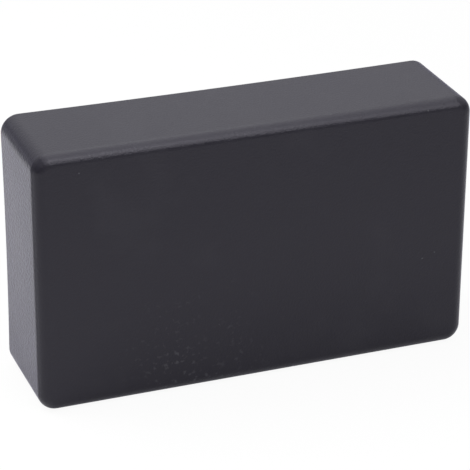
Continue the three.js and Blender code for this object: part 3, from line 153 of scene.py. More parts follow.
room = bpy.data.worlds.new("white_room")
tree = blank_tree(room)
way_up = part_of(add_node(tree, "ShaderNodeTexCoord")["Generated"], "Z")
room_gloss = ranged(way_up, CEILING_STARTS, CEILING_FULL, WALL_GLOSS, CEILING_GLOSS)
room_level = ranged(seen_ray(tree, room_gloss), 0, 1, ROOM_LIGHT)
room_white = add_node(tree, "ShaderNodeBackground", {"Color": (1, 1, 1), "Strength": room_level})
add_node(tree, "ShaderNodeOutputWorld", {"Surface": room_white[0]})
bpy.context.scene.world = room

table_finish = bpy.data.materials.new("pale_table")
tree = blank_tree(table_finish)
table_matte = add_node(tree, "ShaderNodeBsdfDiffuse", {"Color": TABLE_TONE})
table_white = add_node(tree, "ShaderNodeEmission", {"Color": (1, 1, 1), "Strength": 1.0})
table_mix = add_node(tree, "ShaderNodeMixShader",
                     {0: seen_ray(tree, **TABLE_WHITE), 1: table_matte[0], 2: table_white[0]})
add_node(tree, "ShaderNodeOutputMaterial", {"Surface": table_mix[0]})
table_mesh = bpy.data.meshes.new("table")
table_mesh.from_pydata([(x * TABLE_SIZE / 2, y * TABLE_SIZE / 2, 0)
                        for x, y in ((-1, -1), (1, -1), (1, 1), (-1, 1))], [], [(0, 1, 2, 3)])
table_mesh.materials.append(table_finish)
table = linked("table", table_mesh)

bpy.context.scene.view_settings.view_transform = "Standard"


def soft_box(name, place, aim, size, power, mirrored=True):
    """A soft box, width by depth, at place and turned towards aim."""
    light = bpy.data.lights.new(name, "AREA")
    light.shape = "RECTANGLE"
    light.size, light.size_y = size
    light.energy = power
    lamp = linked(name, light)
    lamp.location = place
    lamp.rotation_euler = (Vector(aim) - Vector(place)).to_track_quat("-Z", "Y").to_euler()
    lamp.visible_camera = False
    lamp.visible_glossy = mirrored


soft_box("overhead_box", (0.04, 0.03, 0.6), (0.04, 0.04, 0), (0.6, 1.2), 3.7)
soft_box("front_box", (0.3, -0.75, 0.5), (0, 0, 0.03), (0.7, 0.45), 1.9)
soft_box("edge_box", (0.04, -0.42, 0.5), (-0.03, -0.0125, 0.06), (0.16, 0.08), 0.42)
soft_box("side_box", (-0.26, 0.12, 0.36), (-0.13, 0.05, 0), (0.25, 0.25), 1.35, mirrored=False)

# ------------------------------------------------------------------ tub
# The moulded ABS tub that the whole tool is built in: 2.2 mm walls, a fine spark-eroded
# grain outside, and a thin rim that drew in a little at mid-span as it cooled. It is one
# shot, so its screw bosses, board posts and inlet ribs are part of it.

CASE = {"width": 100.0, "height": 60.0, "closed": -12.5, "rim": 12.5, "corner": 4.0,
        "fillet": 2.6, "wall": 2.2, "lip": 1.2, "ledge": 10.1}
MID_Z = CASE["height"] / 2
DRAW_IN = {"long": 0.27, "short": 0.24, "skin": 0.6, "from": -11, "over": 23.5}


def rounded_outline(width, height, radius, corner_steps, side_steps):
    """Points [x, z] round a rectangle with round corners, as many whatever its size."""
    half_x, half_z = width / 2 - radius, height / 2 - radius
    corners = [[(side_x * half_x + radius * math.cos(a), side_z * half_z + radius * math.sin(a))
                for a in (math.pi / 2 * (quarter + step / corner_steps)
                          for step in range(corner_steps + 1))]
               for quarter, (side_x, side_z) in enumerate(((1, 1), (-1, 1), (-1, -1), (1, -1)))]
    points = []
    for corner, following in zip(corners, corners[1:] + corners[:1]):
        last, first = Vector(corner[-1]), Vector(following[0])
        points += corner + [tuple(last.lerp(first, k / side_steps)) for k in range(1, side_steps)]
    return points


def slab_rings(width, height, corner, section, centre=(0.0, MID_Z), steps=(14, 20)):
    """Rings [x, y, z] round a slab with round corners, whose section is [inset, y]."""
    return [[(centre[0] + x, y, centre[1] + z) for x, z in
             rounded_outline(width - 2 * inset, height - 2 * inset, max(corner - inset, 0.1),
                             *steps)] for inset, y in section]


def mesh_of(name, vertices, faces):
    """A mesh from points in millimetres, its faces turned outwards."""
    mesh = bpy.data.meshes.new(name)
    mesh.from_pydata([Vector(v) * MM for v in vertices], [], faces)
    shaped = bmesh.new()
    shaped.from_mesh(mesh)
    bmesh.ops.remove_doubles(shaped, verts=shaped.verts, dist=1e-7)
    bmesh.ops.recalc_face_normals(shaped, faces=shaped.faces)
    shaped.to_mesh(mesh)
    shaped.free()
    return mesh


def skin(name, rings, closed=False):
    """A mesh over rings of as many points each, capped at its first and last ring, or with
    the last joined to the first."""
    count, number = len(rings[0]), len(rings)
    faces = [(r * count + i, r * count + (i + 1) % count,
              (r + 1) % number * count + (i + 1) % count, (r + 1) % number * count + i)
             for r in range(number if closed else number - 1) for i in range(count)]
    if not closed:
        faces += [tuple(range(count)), tuple(range((number - 1) * count, number * count))]
    return mesh_of(name, [point for ring in rings for point in ring], faces)


def quarter_round(steps, start, middle, end):
    """Points from start to end along a quarter of an ellipse that is tangent to both legs
    of the corner at middle."""
    a, c, b = Vector(start), Vector(middle), Vector(end)
    centre = a + b - c
    return [tuple(centre + (a - centre) * math.cos(t) + (b - centre) * math.sin(t))
            for t in (math.pi / 2 * k / steps for k in range(steps + 1))]


# The wall's section as [inset from the outside, y], from the closed face round to the floor.
closed, rim, fillet = CASE["closed"], CASE["rim"], CASE["fillet"]
wall, lip, ledge = CASE["wall"], CASE["lip"], CASE["ledge"]
wall_section = [
    (fillet + 0.6, closed),
    *quarter_round(16, (fillet, closed), (0, closed), (0, closed + fillet)),
    (0, -7), (0, -3), (0, 1), (0, 5), (0, 9), (0, rim - 0.9),
    *quarter_round(4, (0, rim - 0.3), (0, rim), (0.3, rim)),
    *quarter_round(3, (lip - 0.15, rim), (lip, rim), (lip, rim - 0.15)),
    *quarter_round(2, (lip, ledge + 0.05), (lip, ledge), (lip + 0.05, ledge)),
    *quarter_round(2, (wall - 0.15, ledge), (wall, ledge), (wall, ledge - 0.15)),
    (wall, 0),
    *quarter_round(5, (wall, closed + 3), (wall, closed + wall), (wall + 0.8, closed + wall)),
    (wall + 1.2, closed + wall),
]


def drawn_in(x, y, z, inset):
    """The place of a point round the box's middle, its outside pulled in most at mid-rim."""
    if inset <= DRAW_IN["skin"]:
        share = max(0.0, (y - DRAW_IN["from"]) / DRAW_IN["over"]) ** 2
        along_x = min(1, abs(x) / (CASE["width"] / 2 - CASE["corner"]))
        along_z = min(1, abs(z) / (CASE["height"] / 2 - CASE["corner"]))
        if along_z >= 1 > along_x:
            z -= math.copysign(DRAW_IN["long"] * share * (1 - along_x**2), z)
        elif along_x >= 1 > along_z:
            x -= math.copysign(DRAW_IN["short"] * share * (1 - along_z**2), x)
    return x, y, MID_Z + z


straight_rings = slab_rings(CASE["width"], CASE["height"], CASE["corner"], wall_section, (0, 0))
tub_shell = skin("tub", [[drawn_in(*point, inset) for point in ring]
                         for ring, (inset, _) in zip(straight_rings, wall_section)])


def revolve(name, profile, steps, place=(0, 0, 0), axis="Y"):
    """A closed turned mesh: profile is [radius, height] from the axis back to the axis, or
    a closed ring, turned about the Y or the X axis through place."""
    vertices, faces, rows = [], [], []
    for radius, height in profile:
        count = 1 if radius < 1e-6 else steps
        rows.append((len(vertices), count))
        for k in range(count):
            a = 2 * math.pi * k / steps
            across, over = radius * math.cos(a), radius * math.sin(a)
            offset = (across, height, over) if axis == "Y" else (height, across, over)
            vertices.append(tuple(p + o for p, o in zip(place, offset)))
    is_ring = profile[0][0] > 1e-6
    for (first, n), (second, m) in zip(rows, rows[1:] + rows[:1] if is_ring else rows[1:]):
        for k in range(steps):
            j = (k + 1) % steps
            corners = [first + k % n, first + j % n, second + j % m, second + k % m]
            faces.append(tuple(dict.fromkeys(corners)))
    return mesh_of(name, vertices, [f for f in faces if len(f) > 2])


def plug(radius, low, high, place, steps=40, axis="Y"):
    """A plain cylinder, which bores a hole."""
    return revolve("plug", [(0, low), (radius, low), (radius, high), (0, high)], steps, place, axis)


def eased(mesh, offset, segments):
    """The mesh with its edges rounded off where two faces meet at more than 30 degrees."""
    shaped = bmesh.new()
    shaped.from_mesh(mesh)
    edges = [e for e in shaped.edges if e.calc_face_angle(0) > math.radians(30)]
    bmesh.ops.bevel(shaped, geom=edges, offset=offset * MM, segments=segments, profile=0.5,
                    affect="EDGES", clamp_overlap=True)
    shaped.to_mesh(mesh)
    shaped.free()
    return mesh


def box_mesh(name, low, high, bevel=0.0):
    """A box between two corners, its edges rounded by bevel."""
    shaped = bmesh.new()
    bmesh.ops.create_cube(shaped, size=1)
    for v in shaped.verts:
        v.co = Vector([(lo if c < 0 else hi) for c, lo, hi in zip(v.co, low, high)]) * MM
    mesh = bpy.data.meshes.new(name)
    shaped.to_mesh(mesh)
    shaped.free()
    return eased(mesh, bevel, 3) if bevel else mesh


def result_of(draft):
    """The mesh that an object's modifiers make."""
    return bpy.data.meshes.new_from_object(
        draft.evaluated_get(bpy.context.evaluated_depsgraph_get()))


def carved(base, cutters, additions=()):
    """The base mesh joined with the additions, less the cutters."""
    body, tools = linked("blank", base), []
    for mesh, what in [(m, "UNION") for m in additions] + [(m, "DIFFERENCE") for m in cutters]:
        tools.append(linked("tool", mesh))
        step = body.modifiers.new(what.lower(), "BOOLEAN")
        step.operation, step.solver, step.object = what, "MANIFOLD", tools[-1]
    solid = result_of(body)
    for used in [body, *tools]:
        bpy.data.objects.remove(used)
    return solid


def finished(name, mesh, finish, body="case", nodes=(), crease=32):
    """A piece at the origin with smooth faces and creased edges, which rides on its body
    and stands for its CAD nodes, or for the one of its own name."""
    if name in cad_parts:
        name, nodes = name + "_piece", [name]
    mesh.materials.clear()
    mesh.materials.append(finish)
    mesh.polygons.foreach_set("material_index", [0] * len(mesh.polygons))
    mesh.polygons.foreach_set("use_smooth", [True] * len(mesh.polygons))
    mesh.set_sharp_from_angle(angle=math.radians(crease))
    draft = linked(name, mesh)
    even = draft.modifiers.new("even", "WEIGHTED_NORMAL")
    even.keep_sharp = True
    shaded = result_of(draft)
    draft.modifiers.clear()
    draft.data = shaded
    shaded.name = name
    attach(draft, body)
    if nodes:
        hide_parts(*nodes)
    return draft


def finish_of(name, base, roughness, metallic=0.0, **sockets):
    """A material, its Principled shader with the even values on its sockets, and the place
    that its patterns are drawn by."""
    finish = bpy.data.materials.new(name + "_finish")
    tree = blank_tree(finish)
    shader = tree.nodes.new("ShaderNodeBsdfPrincipled")
    even = {"Base_Color": base, "Roughness": roughness, "Metallic": metallic, **sockets}
    for key, value in even.items():
        fill(shader.inputs[key.replace("_", " ")], value)
    add_node(tree, "ShaderNodeOutputMaterial", {"Surface": shader.outputs[0]})
    return finish, shader.inputs, add_node(tree, "ShaderNodeTexCoord")["Object"]


def noise(place, scale, detail=3.0):
    """Clouds with this many to the metre, from 0 to 1."""
    return add_node(place.id_data, "ShaderNodeTexNoise",
                    {"Vector": place, "Scale": scale, "Detail": detail})["Fac"]


def mixed(share, first, second):
    """From the first colour to the second by share."""
    return add_node(share.id_data, "ShaderNodeMix", {0: share, 6: first, 7: second},
                    data_type="RGBA")[2]


def clouded(shader, clouds, dark, light):
    """Colours the surface in clouds from dark to light."""
    fill(shader["Base Color"], mixed(ranged(clouds, 0.35, 0.65), dark, light))


def patchy(shader, clouds, gloss):
    """Makes the surface glossier in places, between the two roughnesses of gloss."""
    fill(shader["Roughness"], ranged(clouds, 0.3, 0.7, *gloss))


def bumped(shader, height, depth):
    """Raises the surface by height, which runs from 0 to 1, times depth in millimetres."""
    bump = add_node(height.id_data, "ShaderNodeBump",
                    {"Strength": 1.0, "Distance": depth * MM, "Height": height})
    fill(shader["Normal"], bump[0])


# Black ABS with a fine spark-eroded grain that is coarser on the two ends, faint rubs, a few
# pale specks of dust, and a spot low on the closed face that is marked by handling.
BLACK, RUBBED, DUST = (0.003, 0.0024, 0.0068), (0.30, 0.30, 0.33), (0.05, 0.05, 0.056)
END_GRAIN, GRAIN_DEPTH = 2.7, 0.08
WORN_SPOT, WORN_REACH = (-0.014, -0.0125, 0.005), 0.019
CLOUDS = {"fine_grain": 2300, "end_grain": 1500, "gloss": 45, "rubs": 60, "marks": 900,
          "worn_edge": 130, "specks": 330, "speck_size": 900, "speck_patches": 22}

black_shell, shader, place = finish_of(
    "black_shell", BLACK, 0.32, IOR=1.447, Specular_Tint=(0.92, 0.895, 1.0, 1.0),
    Sheen_Weight=0.17, Sheen_Roughness=0.35, Sheen_Tint=(0.58, 0.53, 1.0, 1.0))
specks = add_node(place.id_data, "ShaderNodeTexVoronoi",
                  {"Vector": place, "Scale": CLOUDS["specks"]})
patches = ranged(noise(place, CLOUDS["speck_patches"]), 0.4, 0.66, 0.98, 0.8)
speck_size = ranged(noise(place, CLOUDS["speck_size"]), 0.3, 0.7, 0.03, 0.1)
settled = worked("MULTIPLY", worked("GREATER_THAN", specks["Color"], patches),
                 worked("LESS_THAN", specks["Distance"], speck_size))
from_spot = add_node(place.id_data, "ShaderNodeVectorMath", {0: place, 1: WORN_SPOT},
                     operation="DISTANCE")["Value"]
ragged = worked("MULTIPLY_ADD", noise(place, CLOUDS["worn_edge"]), 2 * WORN_REACH, from_spot)
marks = worked("MULTIPLY", ranged(noise(place, CLOUDS["marks"], 4), 0.59, 0.69, 0, 0.1),
               ranged(ragged, WORN_REACH, 2 * WORN_REACH, 1, 0))
rubs = ranged(noise(place, CLOUDS["rubs"], 6), 0.56, 0.72, 0, 0.012)
rubbed = mixed(worked("ADD", rubs, marks), BLACK, RUBBED)
fill(shader["Base Color"], mixed(settled, rubbed, DUST))
patchy(shader, noise(place, CLOUDS["gloss"], 4), (0.30, 0.335))
sideways = worked("ABSOLUTE", part_of(add_node(place.id_data, "ShaderNodeTexCoord")["Normal"], "X"))
on_end = ranged(sideways, 0.9, 0.99, 0, END_GRAIN)
grain = worked("MULTIPLY_ADD", noise(place, CLOUDS["end_grain"], 2), on_end,
               noise(place, CLOUDS["fine_grain"]))
bumped(shader, grain, GRAIN_DEPTH)

# The corner bosses, the board's screwed and plain posts and the bracket's bosses stand at
# [x, z]. POSTS gives them as [radius, top, pilot radius, pilot depth, places].
BOSS_PLACES = [(side * 44.8, MID_Z + level * 24.8) for side in (-1, 1) for level in (-1, 1)]
BOARD_SCREWS, BOARD_RESTS = ([(x, z) for x in (-3.05, 20.55)] for z in (7.2, 30.8))
BRACKET_SCREWS = [(-27.7, 7.35), (-27.7, 52.65)]
POSTS = [(3.2, ledge, 1.55, 11.0, BOSS_PLACES), (2.7, -6.1, 1.55, 2.7, BOARD_SCREWS),
         (2.7, -6.1, 0.0, 0.0, BOARD_RESTS), (3.0, -7.3, 1.55, 2.7, BRACKET_SCREWS)]
tub_posts = []
for size, top, pilot, depth, places in POSTS:
    foot = closed + wall / 2
    profile = [(0, foot), (size + 0.25, foot), (size, top - 0.15), (size - 0.15, top)]
    if pilot:
        profile += [(pilot + 0.3, top), (pilot, top - 0.3), (pilot, top - depth), (0, top - depth)]
    else:
        profile += [(0, top)]
    tub_posts += [revolve("post", profile, 40, (x, 0, z)) for x, z in places]
tub_ribs = [box_mesh("rib", (44.3, -11.4, low), (45.9, 6.4, low + 3.4), 0.15)
            for low in (16.4, 40.2)]


def end_on(rings):
    """Rings [z, x, y] as rings [x, y, z], for a shape that runs along X."""
    return [[(x, y, z) for z, x, y in ring] for ring in rings]


inlet_window = skin("window", end_on(slab_rings(20.4, 11.8, 3.2, [
    (0, 46.0), (0, 49.75), (-0.05, 49.9), (-0.2, 50.0), (-0.2, 51.0)], (MID_Z, 0))))
finished("tub_housing", carved(tub_shell, [inlet_window], [*tub_posts, *tub_ribs]), black_shell)

# ------------------------------------------------------------------ inlet
# The two-pin figure-of-eight mains inlet: a glossy black polyester body whose snout stands
# in the end wall's window, held by the tub's ribs, and two nickel-plated brass pins.

SOCKET = {"face": 49.8, "back": 15.5, "pitch": 8.6, "lobe": 4.2, "waist": 2.8,
          "height": 20.0, "width": 11.4, "corner": 3.0, "pin": 1.2}
face = SOCKET["face"]


def figure_of_eight(lobe, waist, steps=28):
    """Points [z, y] round two lobes that a straight-sided waist joins."""
    half = SOCKET["pitch"] / 2
    edge = math.pi - math.asin(waist / lobe)
    angles = [edge * (2 * k / steps - 1) for k in range(steps + 1)]
    return [(side * (half + lobe * math.cos(a)), side * lobe * math.sin(a))
            for side in (1, -1) for a in angles]


lip_round = quarter_round(4, (0, -0.5), (0, 0), (0.5, 0))
snout = skin("snout", end_on(slab_rings(SOCKET["height"], SOCKET["width"], SOCKET["corner"], [
    (0.3, face - SOCKET["back"]), (0, face + 0.3 - SOCKET["back"]),
    *[(inset, face + x) for inset, x in lip_round]], (MID_Z, 0), (10, 6))))
flange = box_mesh("flange", (46.1, -7.1, 18.6), (47.7, 7.1, 41.4), 0.3)
mouth = skin("mouth", [
    [(face + x, y, MID_Z + z)
     for z, y in figure_of_eight(SOCKET["lobe"] + grow, SOCKET["waist"] + grow)]
    for x, grow in ((-12.5, -0.25), (-12.25, 0), (-0.7, 0), (0, 0.35), (1, 0.35))])
pin_places = [MID_Z + side * SOCKET["pitch"] / 2 for side in (-1, 1)]
pin_bores = [plug(1.3, 33, 38, (0, 0, z), 32, "X") for z in pin_places]


def moulded(name, dark, light, gloss, grain, **sockets):
    """A moulded plastic: clouded a little from dark to light, glossier in places, grained."""
    finish, shader, place = finish_of(name, light, gloss[0], **sockets)
    clouded(shader, noise(place, 260), dark, light)
    patchy(shader, noise(place, 900), gloss)
    bumped(shader, noise(place, 2600), grain)
    return finish


def plated(name, dark, light, gloss, scratch, **sockets):
    """A bright metal: its colour clouds from dark to light, and fine scratches run over it."""
    finish, shader, place = finish_of(name, light, gloss[0], metallic=1.0, **sockets)
    clouded(shader, noise(place, 420), dark, light)
    drawn = add_node(place.id_data, "ShaderNodeMapping", {"Vector": place, "Scale": (1, 0.12, 1)})
    lines = noise(drawn[0], 5200)
    patchy(shader, lines, gloss)
    bumped(shader, lines, scratch)
    return finish


black_plastic = moulded("black_plastic", (0.010, 0.010, 0.011), (0.016, 0.016, 0.017),
                        (0.26, 0.36), 0.004)
nickel = plated("nickel", (0.60, 0.58, 0.53), (0.70, 0.68, 0.63), (0.14, 0.27), 0.0015)

finished("inlet_body", carved(snout, [mouth, *pin_bores], [flange]), black_plastic)
for number, z in enumerate(pin_places, 1):
    size = SOCKET["pin"]
    nose = [(r, face - 2 - size + h) for r, h in
            quarter_round(8, (size, 0), (size, size), (0, size))]
    shank = revolve("pin", [(0, face - 16.5), (size - 0.1, face - 16.5), (size, face - 16.4), *nose],
                    36, (0, 0, z), "X")
    lug = box_mesh("lug", (29.3, -0.95, z - 0.4), (34.3, 0.95, z + 0.4), 0.12)
    eyelet = skin("eye", [[(30.6 + 0.45 * math.cos(a), 0.45 * math.sin(a), z + h)
                           for a in (math.pi * k / 10 for k in range(20))] for h in (-1, 1)])
    finished(f"inlet_pin_{number}", carved(shank, [eyelet], [lug]), nickel)

# ------------------------------------------------------------------ core
# An open E of transformer steel: punched sheets half a millimetre thick, stacked and oxidised
# blue-grey, with the three poles towards the lid. A bent zinc-plated channel grips its yoke.

CORE = {"x": -27.7, "low": -9.3, "top": 9.8, "yoke_top": -4.3, "outer": 15.0, "window": 10.0,
        "limb": 5.0, "notch": 1.0, "first": 16.0, "sheets": 56, "pitch": 0.5, "gap": 0.02}


def tree_of(name, **inputs):
    """A Geometry Nodes tree with these named inputs, and its sockets."""
    tree = bpy.data.node_groups.new(name, "GeometryNodeTree")
    for label, (kind, value) in {"Geometry": ("Geometry", None), **inputs}.items():
        socket = tree.interface.new_socket(label, in_out="INPUT", socket_type="NodeSocket" + kind)
        if value is not None:
            socket.default_value = value
    tree.interface.new_socket("Geometry", in_out="OUTPUT", socket_type="NodeSocketGeometry")
    return tree, add_node(tree, "NodeGroupInput")


def close_tree(tree, geometry, material):
    """Ends a tree with its copies made real and its material set."""
    real = add_node(tree, "GeometryNodeRealizeInstances", {"Geometry": geometry})
    dressed = add_node(tree, "GeometryNodeSetMaterial",
                       {"Geometry": real[0], "Material": material})
    add_node(tree, "NodeGroupOutput", {0: dressed[0]})


def grown(tree, carrier, **values):
    """The plain mesh that a tree makes of a carrier mesh, its inputs set by identifier."""
    draft = linked("carrier", carrier)
    step = draft.modifiers.new("tree", "NODES")
    step.node_group = tree
    for item in tree.interface.items_tree:
        if item.in_out == "INPUT" and item.name in values:
            step[item.identifier] = values[item.name]
    mesh = result_of(draft)
    draft.modifiers.clear()
    bpy.data.objects.remove(draft)
    return mesh


def extruded(name, outline, low, high, turn=lambda a, b, c: (a, b, c), ease=0.06):
    """A flat outline [a, b] as a prism from low to high, its sharp edges eased. turn gives
    the place [x, y, z] of a, b and the height c."""
    return eased(skin(name, [[turn(a, b, c) for a, b in outline] for c in (low, high)]), ease, 2)


# A stack of sheets along Z, each nudged by chance in its own plane.
stack_tree, stack = tree_of("sheet_stack", Sheets=("Int", 10), Pitch=("Float", 0.0005),
                            Nudge=("Float", 0.00003), Seed=("Int", 1), Steel=("Material", None))
stack_step = add_node(stack_tree, "ShaderNodeCombineXYZ", {"Z": stack["Pitch"]})
stack_line = add_node(stack_tree, "GeometryNodeMeshLine",
                      {"Count": stack["Sheets"], "Offset": stack_step[0]})
stack_chance = add_node(stack_tree, "FunctionNodeRandomValue", {
    0: (-1.0, -1.0, 0.0), 1: (1.0, 1.0, 0.0), "Seed": stack["Seed"]}, data_type="FLOAT_VECTOR")
stack_nudge = add_node(stack_tree, "ShaderNodeVectorMath",
                       {0: stack_chance[0], "Scale": stack["Nudge"]}, operation="SCALE")
stack_places = add_node(stack_tree, "GeometryNodeSetPosition",
                        {"Geometry": stack_line[0], "Offset": stack_nudge[0]})
stacked = add_node(stack_tree, "GeometryNodeInstanceOnPoints",
                   {"Points": stack_places[0], "Instance": stack["Geometry"]})
close_tree(stack_tree, stacked[0], stack["Steel"])

SHEET_GREYS, RUST = ((0.10, 0.115, 0.145), (0.26, 0.265, 0.27)), (0.16, 0.075, 0.035)
core_steel, shader, place = finish_of("core_steel", (0.16, 0.17, 0.19), 0.42, metallic=0.85)
bands = add_node(place.id_data, "ShaderNodeMapping", {"Vector": place, "Scale": (0.02, 0.02, 1)})
sheet_tone = ranged(noise(bands[0], 1900, 1), 0.3, 0.7)
rusted = ranged(noise(place, 380, 5), 0.62, 0.74, 0, 0.55)
fill(shader["Base Color"], mixed(rusted, mixed(sheet_tone, *SHEET_GREYS), RUST))
patchy(shader, noise(place, 1100), (0.34, 0.55))
bumped(shader, noise(place, 2200), 0.004)

foot_x, foot_y = CORE["outer"] - CORE["notch"], CORE["low"] + CORE["notch"]
half_e = [(foot_x, CORE["low"]), (foot_x, foot_y), (CORE["outer"], foot_y),
          (CORE["outer"], CORE["top"]), (CORE["window"], CORE["top"]),
          (CORE["window"], CORE["yoke_top"]), (CORE["limb"], CORE["yoke_top"]),
          (CORE["limb"], CORE["top"])]
e_outline = [(CORE["x"] + x, y) for x, y in half_e + [(-x, y) for x, y in reversed(half_e)]]
e_sheet = extruded("sheet", e_outline, CORE["first"] + CORE["gap"],
                   CORE["first"] + CORE["pitch"] - CORE["gap"], ease=0.04)
finished("core_laminations", grown(stack_tree, e_sheet, Sheets=CORE["sheets"], Seed=4,
                                   Pitch=CORE["pitch"] * MM, Nudge=0.03 * MM, Steel=core_steel),
         core_steel)


def eased_line(points, radius, steps=6):
    """A line through points, its corners rounded off."""
    line = [Vector(points[0])]
    for before, corner, after in zip(points, points[1:], points[2:]):
        a, c, b = Vector(before), Vector(corner), Vector(after)
        run = min(radius / math.tan((a - c).angle(b - c) / 2), (a - c).length / 2,
                  (b - c).length / 2)
        start, end = c + (a - c).normalized() * run, c + (b - c).normalized() * run
        line += [(1 - t) ** 2 * start + 2 * t * (1 - t) * c + t**2 * end
                 for t in (k / steps for k in range(steps + 1))]
    return line + [Vector(points[-1])]


def bent_strip(path, thickness, radius):
    """The outline of a strip bent along a centre line, with rounded bends."""
    line = eased_line(path, radius)
    sides = ([], [])
    for i, point in enumerate(line):
        along = (line[min(i + 1, len(line) - 1)] - line[max(i - 1, 0)]).normalized()
        across = Vector((-along.y, along.x)) * thickness / 2
        sides[0].append(tuple(point + across))
        sides[1].append(tuple(point - across))
    return sides[0] + sides[1][::-1]


zinc_steel = plated("zinc_steel", (0.50, 0.51, 0.52), (0.62, 0.63, 0.65), (0.24, 0.38), 0.002)
BRACKET = {"low": -9.8, "cheek": 15.5, "cheek_top": 1.8, "half": 10, "tab": -6.8,
           "thickness": 0.8, "strap": 4}
channel_line = [(CORE["x"] + side * BRACKET["cheek"], y) for side, y in (
    (-1, BRACKET["cheek_top"]), (-1, BRACKET["low"]), (1, BRACKET["low"]), (1, BRACKET["cheek_top"]))]
channel = extruded("channel", bent_strip(channel_line, BRACKET["thickness"], 1.0),
                   MID_Z - BRACKET["half"], MID_Z + BRACKET["half"])
strap_half = [(17.15, BRACKET["low"]), (19.65, BRACKET["tab"]), (25.65, BRACKET["tab"])]
strap_line = [(-z, y) for z, y in reversed(strap_half)] + strap_half
strap = extruded("strap", bent_strip(strap_line, BRACKET["thickness"], 0.8),
                 CORE["x"] - BRACKET["strap"], CORE["x"] + BRACKET["strap"],
                 lambda a, b, c: (c, b, MID_Z + a))
bracket_holes = [plug(1.65, -9, -5, (x, 0, z)) for x, z in BRACKET_SCREWS]
finished("core_bracket", carved(channel, bracket_holes, [strap]), zinc_steel)

# ------------------------------------------------------------------ coil
# A white nylon bobbin on the middle limb, machine-wound with enamelled copper and closed
# with amber polyester tape. Its two pins take the leads, and a thermal fuse lies beside it.

COIL = {"low": -4.2, "top": 9.3, "flange": 0.8, "wire": 0.34, "turns": 31, "pin": 16.65}
PIN_X = -15.85


def ring_on_limb(name, half_x, half_z, corner, section, steps=(8, 4)):
    """A ring round the middle limb, whose section [inset, y] closes on itself."""
    return skin(name, slab_rings(2 * half_x, 2 * half_z, corner, section, (CORE["x"], MID_Z), steps),
                closed=True)


def merged(name, meshes):
    """Several meshes as one, each body left whole."""
    joint = bmesh.new()
    for mesh in meshes:
        joint.from_mesh(mesh)
    whole = bpy.data.meshes.new(name)
    joint.to_mesh(whole)
    joint.free()
    return whole


white_nylon = moulded("white_nylon", (0.72, 0.70, 0.62), (0.80, 0.78, 0.71), (0.42, 0.55), 0.003,
                      Subsurface_Weight=0.1, Subsurface_Scale=0.001)
blocks, pockets = [], []
for side in (-1, 1):
    z = MID_Z + side * COIL["pin"]
    blocks += [box_mesh("block", (-17.75, COIL["low"], z - 2.25), (-13.75, -1.7, z + 2.25), 0.2),
               box_mesh("tongue", (-19.45, -4.1, z - 2.05), (PIN_X, -3.5, z + 2.05), 0.05)]
    pockets += [revolve("bore", [(0, -3.7), (0.6, -3.7), (0.6, -1.8), (0.7, -1), (0, -1)], 24,
                        (PIN_X, 0, z)),
                box_mesh("slot", (-18.9, -5, z - 2.9), (-17.8, -3, z - 2.2), 0.1)]
low, top = COIL["low"], COIL["top"]
flange_low, flange_high = low + COIL["flange"], top - COIL["flange"]
bobbin = ring_on_limb("bobbin", 9.75, 18.75, 1.5, [
    (4.55, low), (0.2, low), (0, low + 0.2), (0, flange_low - 0.2), (0.2, flange_low),
    (3.45, flange_low), (3.75, flange_low + 0.3), (3.75, flange_high - 0.3), (3.45, flange_high),
    (0.2, flange_high), (0, flange_high + 0.2), (0, top - 0.2), (0.2, top), (4.55, top)])
finished("coil_bobbin", carved(bobbin, pockets, blocks), white_nylon)

# A round rod along a path of edges: windings, springs, leads.
rod_tree, rod = tree_of("rod_on_path", Radius=("Float", 0.0008), Sides=("Int", 16),
                        Skin=("Material", None))
rod_path = add_node(rod_tree, "GeometryNodeMeshToCurve", {"Mesh": rod["Geometry"]})
rod_section = add_node(rod_tree, "GeometryNodeCurvePrimitiveCircle",
                       {"Resolution": rod["Sides"], "Radius": rod["Radius"]})
rod_swept = add_node(rod_tree, "GeometryNodeCurveToMesh",
                     {"Curve": rod_path[0], "Profile Curve": rod_section[0], "Fill Caps": True})
close_tree(rod_tree, rod_swept[0], rod["Skin"])


def point_mesh(points, joined=False):
    """Points in millimetres as a mesh, loose or each joined to the next."""
    mesh = bpy.data.meshes.new("points")
    edges = [(i, i + 1) for i in range(len(points) - 1)] if joined else []
    mesh.from_pydata([Vector(p) * MM for p in points], edges, [])
    return mesh


def rod_along(points, radius, sides, finish):
    """A rod of that radius along points in millimetres."""
    return grown(rod_tree, point_mesh(points, True), Radius=radius * MM, Sides=sides, Skin=finish)


copper = plated("copper", (0.42, 0.13, 0.045), (0.58, 0.21, 0.08), (0.16, 0.3), 0.001,
                Coat_Weight=0.5, Coat_Roughness=0.1)
thick = COIL["wire"] / 2
turn_outline = rounded_outline(2 * (8.95 - thick), 2 * (17.95 - thick), 3.58, 6, 3)
wind_low, wind_top = flange_low + 0.1, flange_high - 0.1
climb = (wind_top - wind_low - COIL["wire"]) / COIL["turns"]
wound_points = []
for k in range(COIL["turns"] * len(turn_outline) + 1):
    x, z = turn_outline[k % len(turn_outline)]
    wound_points.append((CORE["x"] + x, wind_low + thick + climb * k / len(turn_outline),
                         MID_Z + z))
inner_layers = ring_on_limb("layers", 8.95, 17.95, 3.75, [
    (2.85, wind_low), (0.25, wind_low), (0.25, wind_top), (2.85, wind_top)])
pin_wraps = []
for side in (-1, 1):
    z = MID_Z + side * COIL["pin"]
    wrap = [(PIN_X + 0.63 * math.cos(a), -1.45 + 0.04 * a, z + side * 0.63 * math.sin(a))
            for a in (math.pi / 8 * k for k in range(3 * 16 + 1))]
    pin_wraps.append(rod_along([(-18.9, -1.3, z), (-17.4, -1.45, z - side * 0.4), *wrap], 0.12, 8,
                               copper))
winding = merged("winding", [inner_layers, rod_along(wound_points, thick, 6, copper), *pin_wraps])
finished("coil_winding", winding, copper, crease=50)

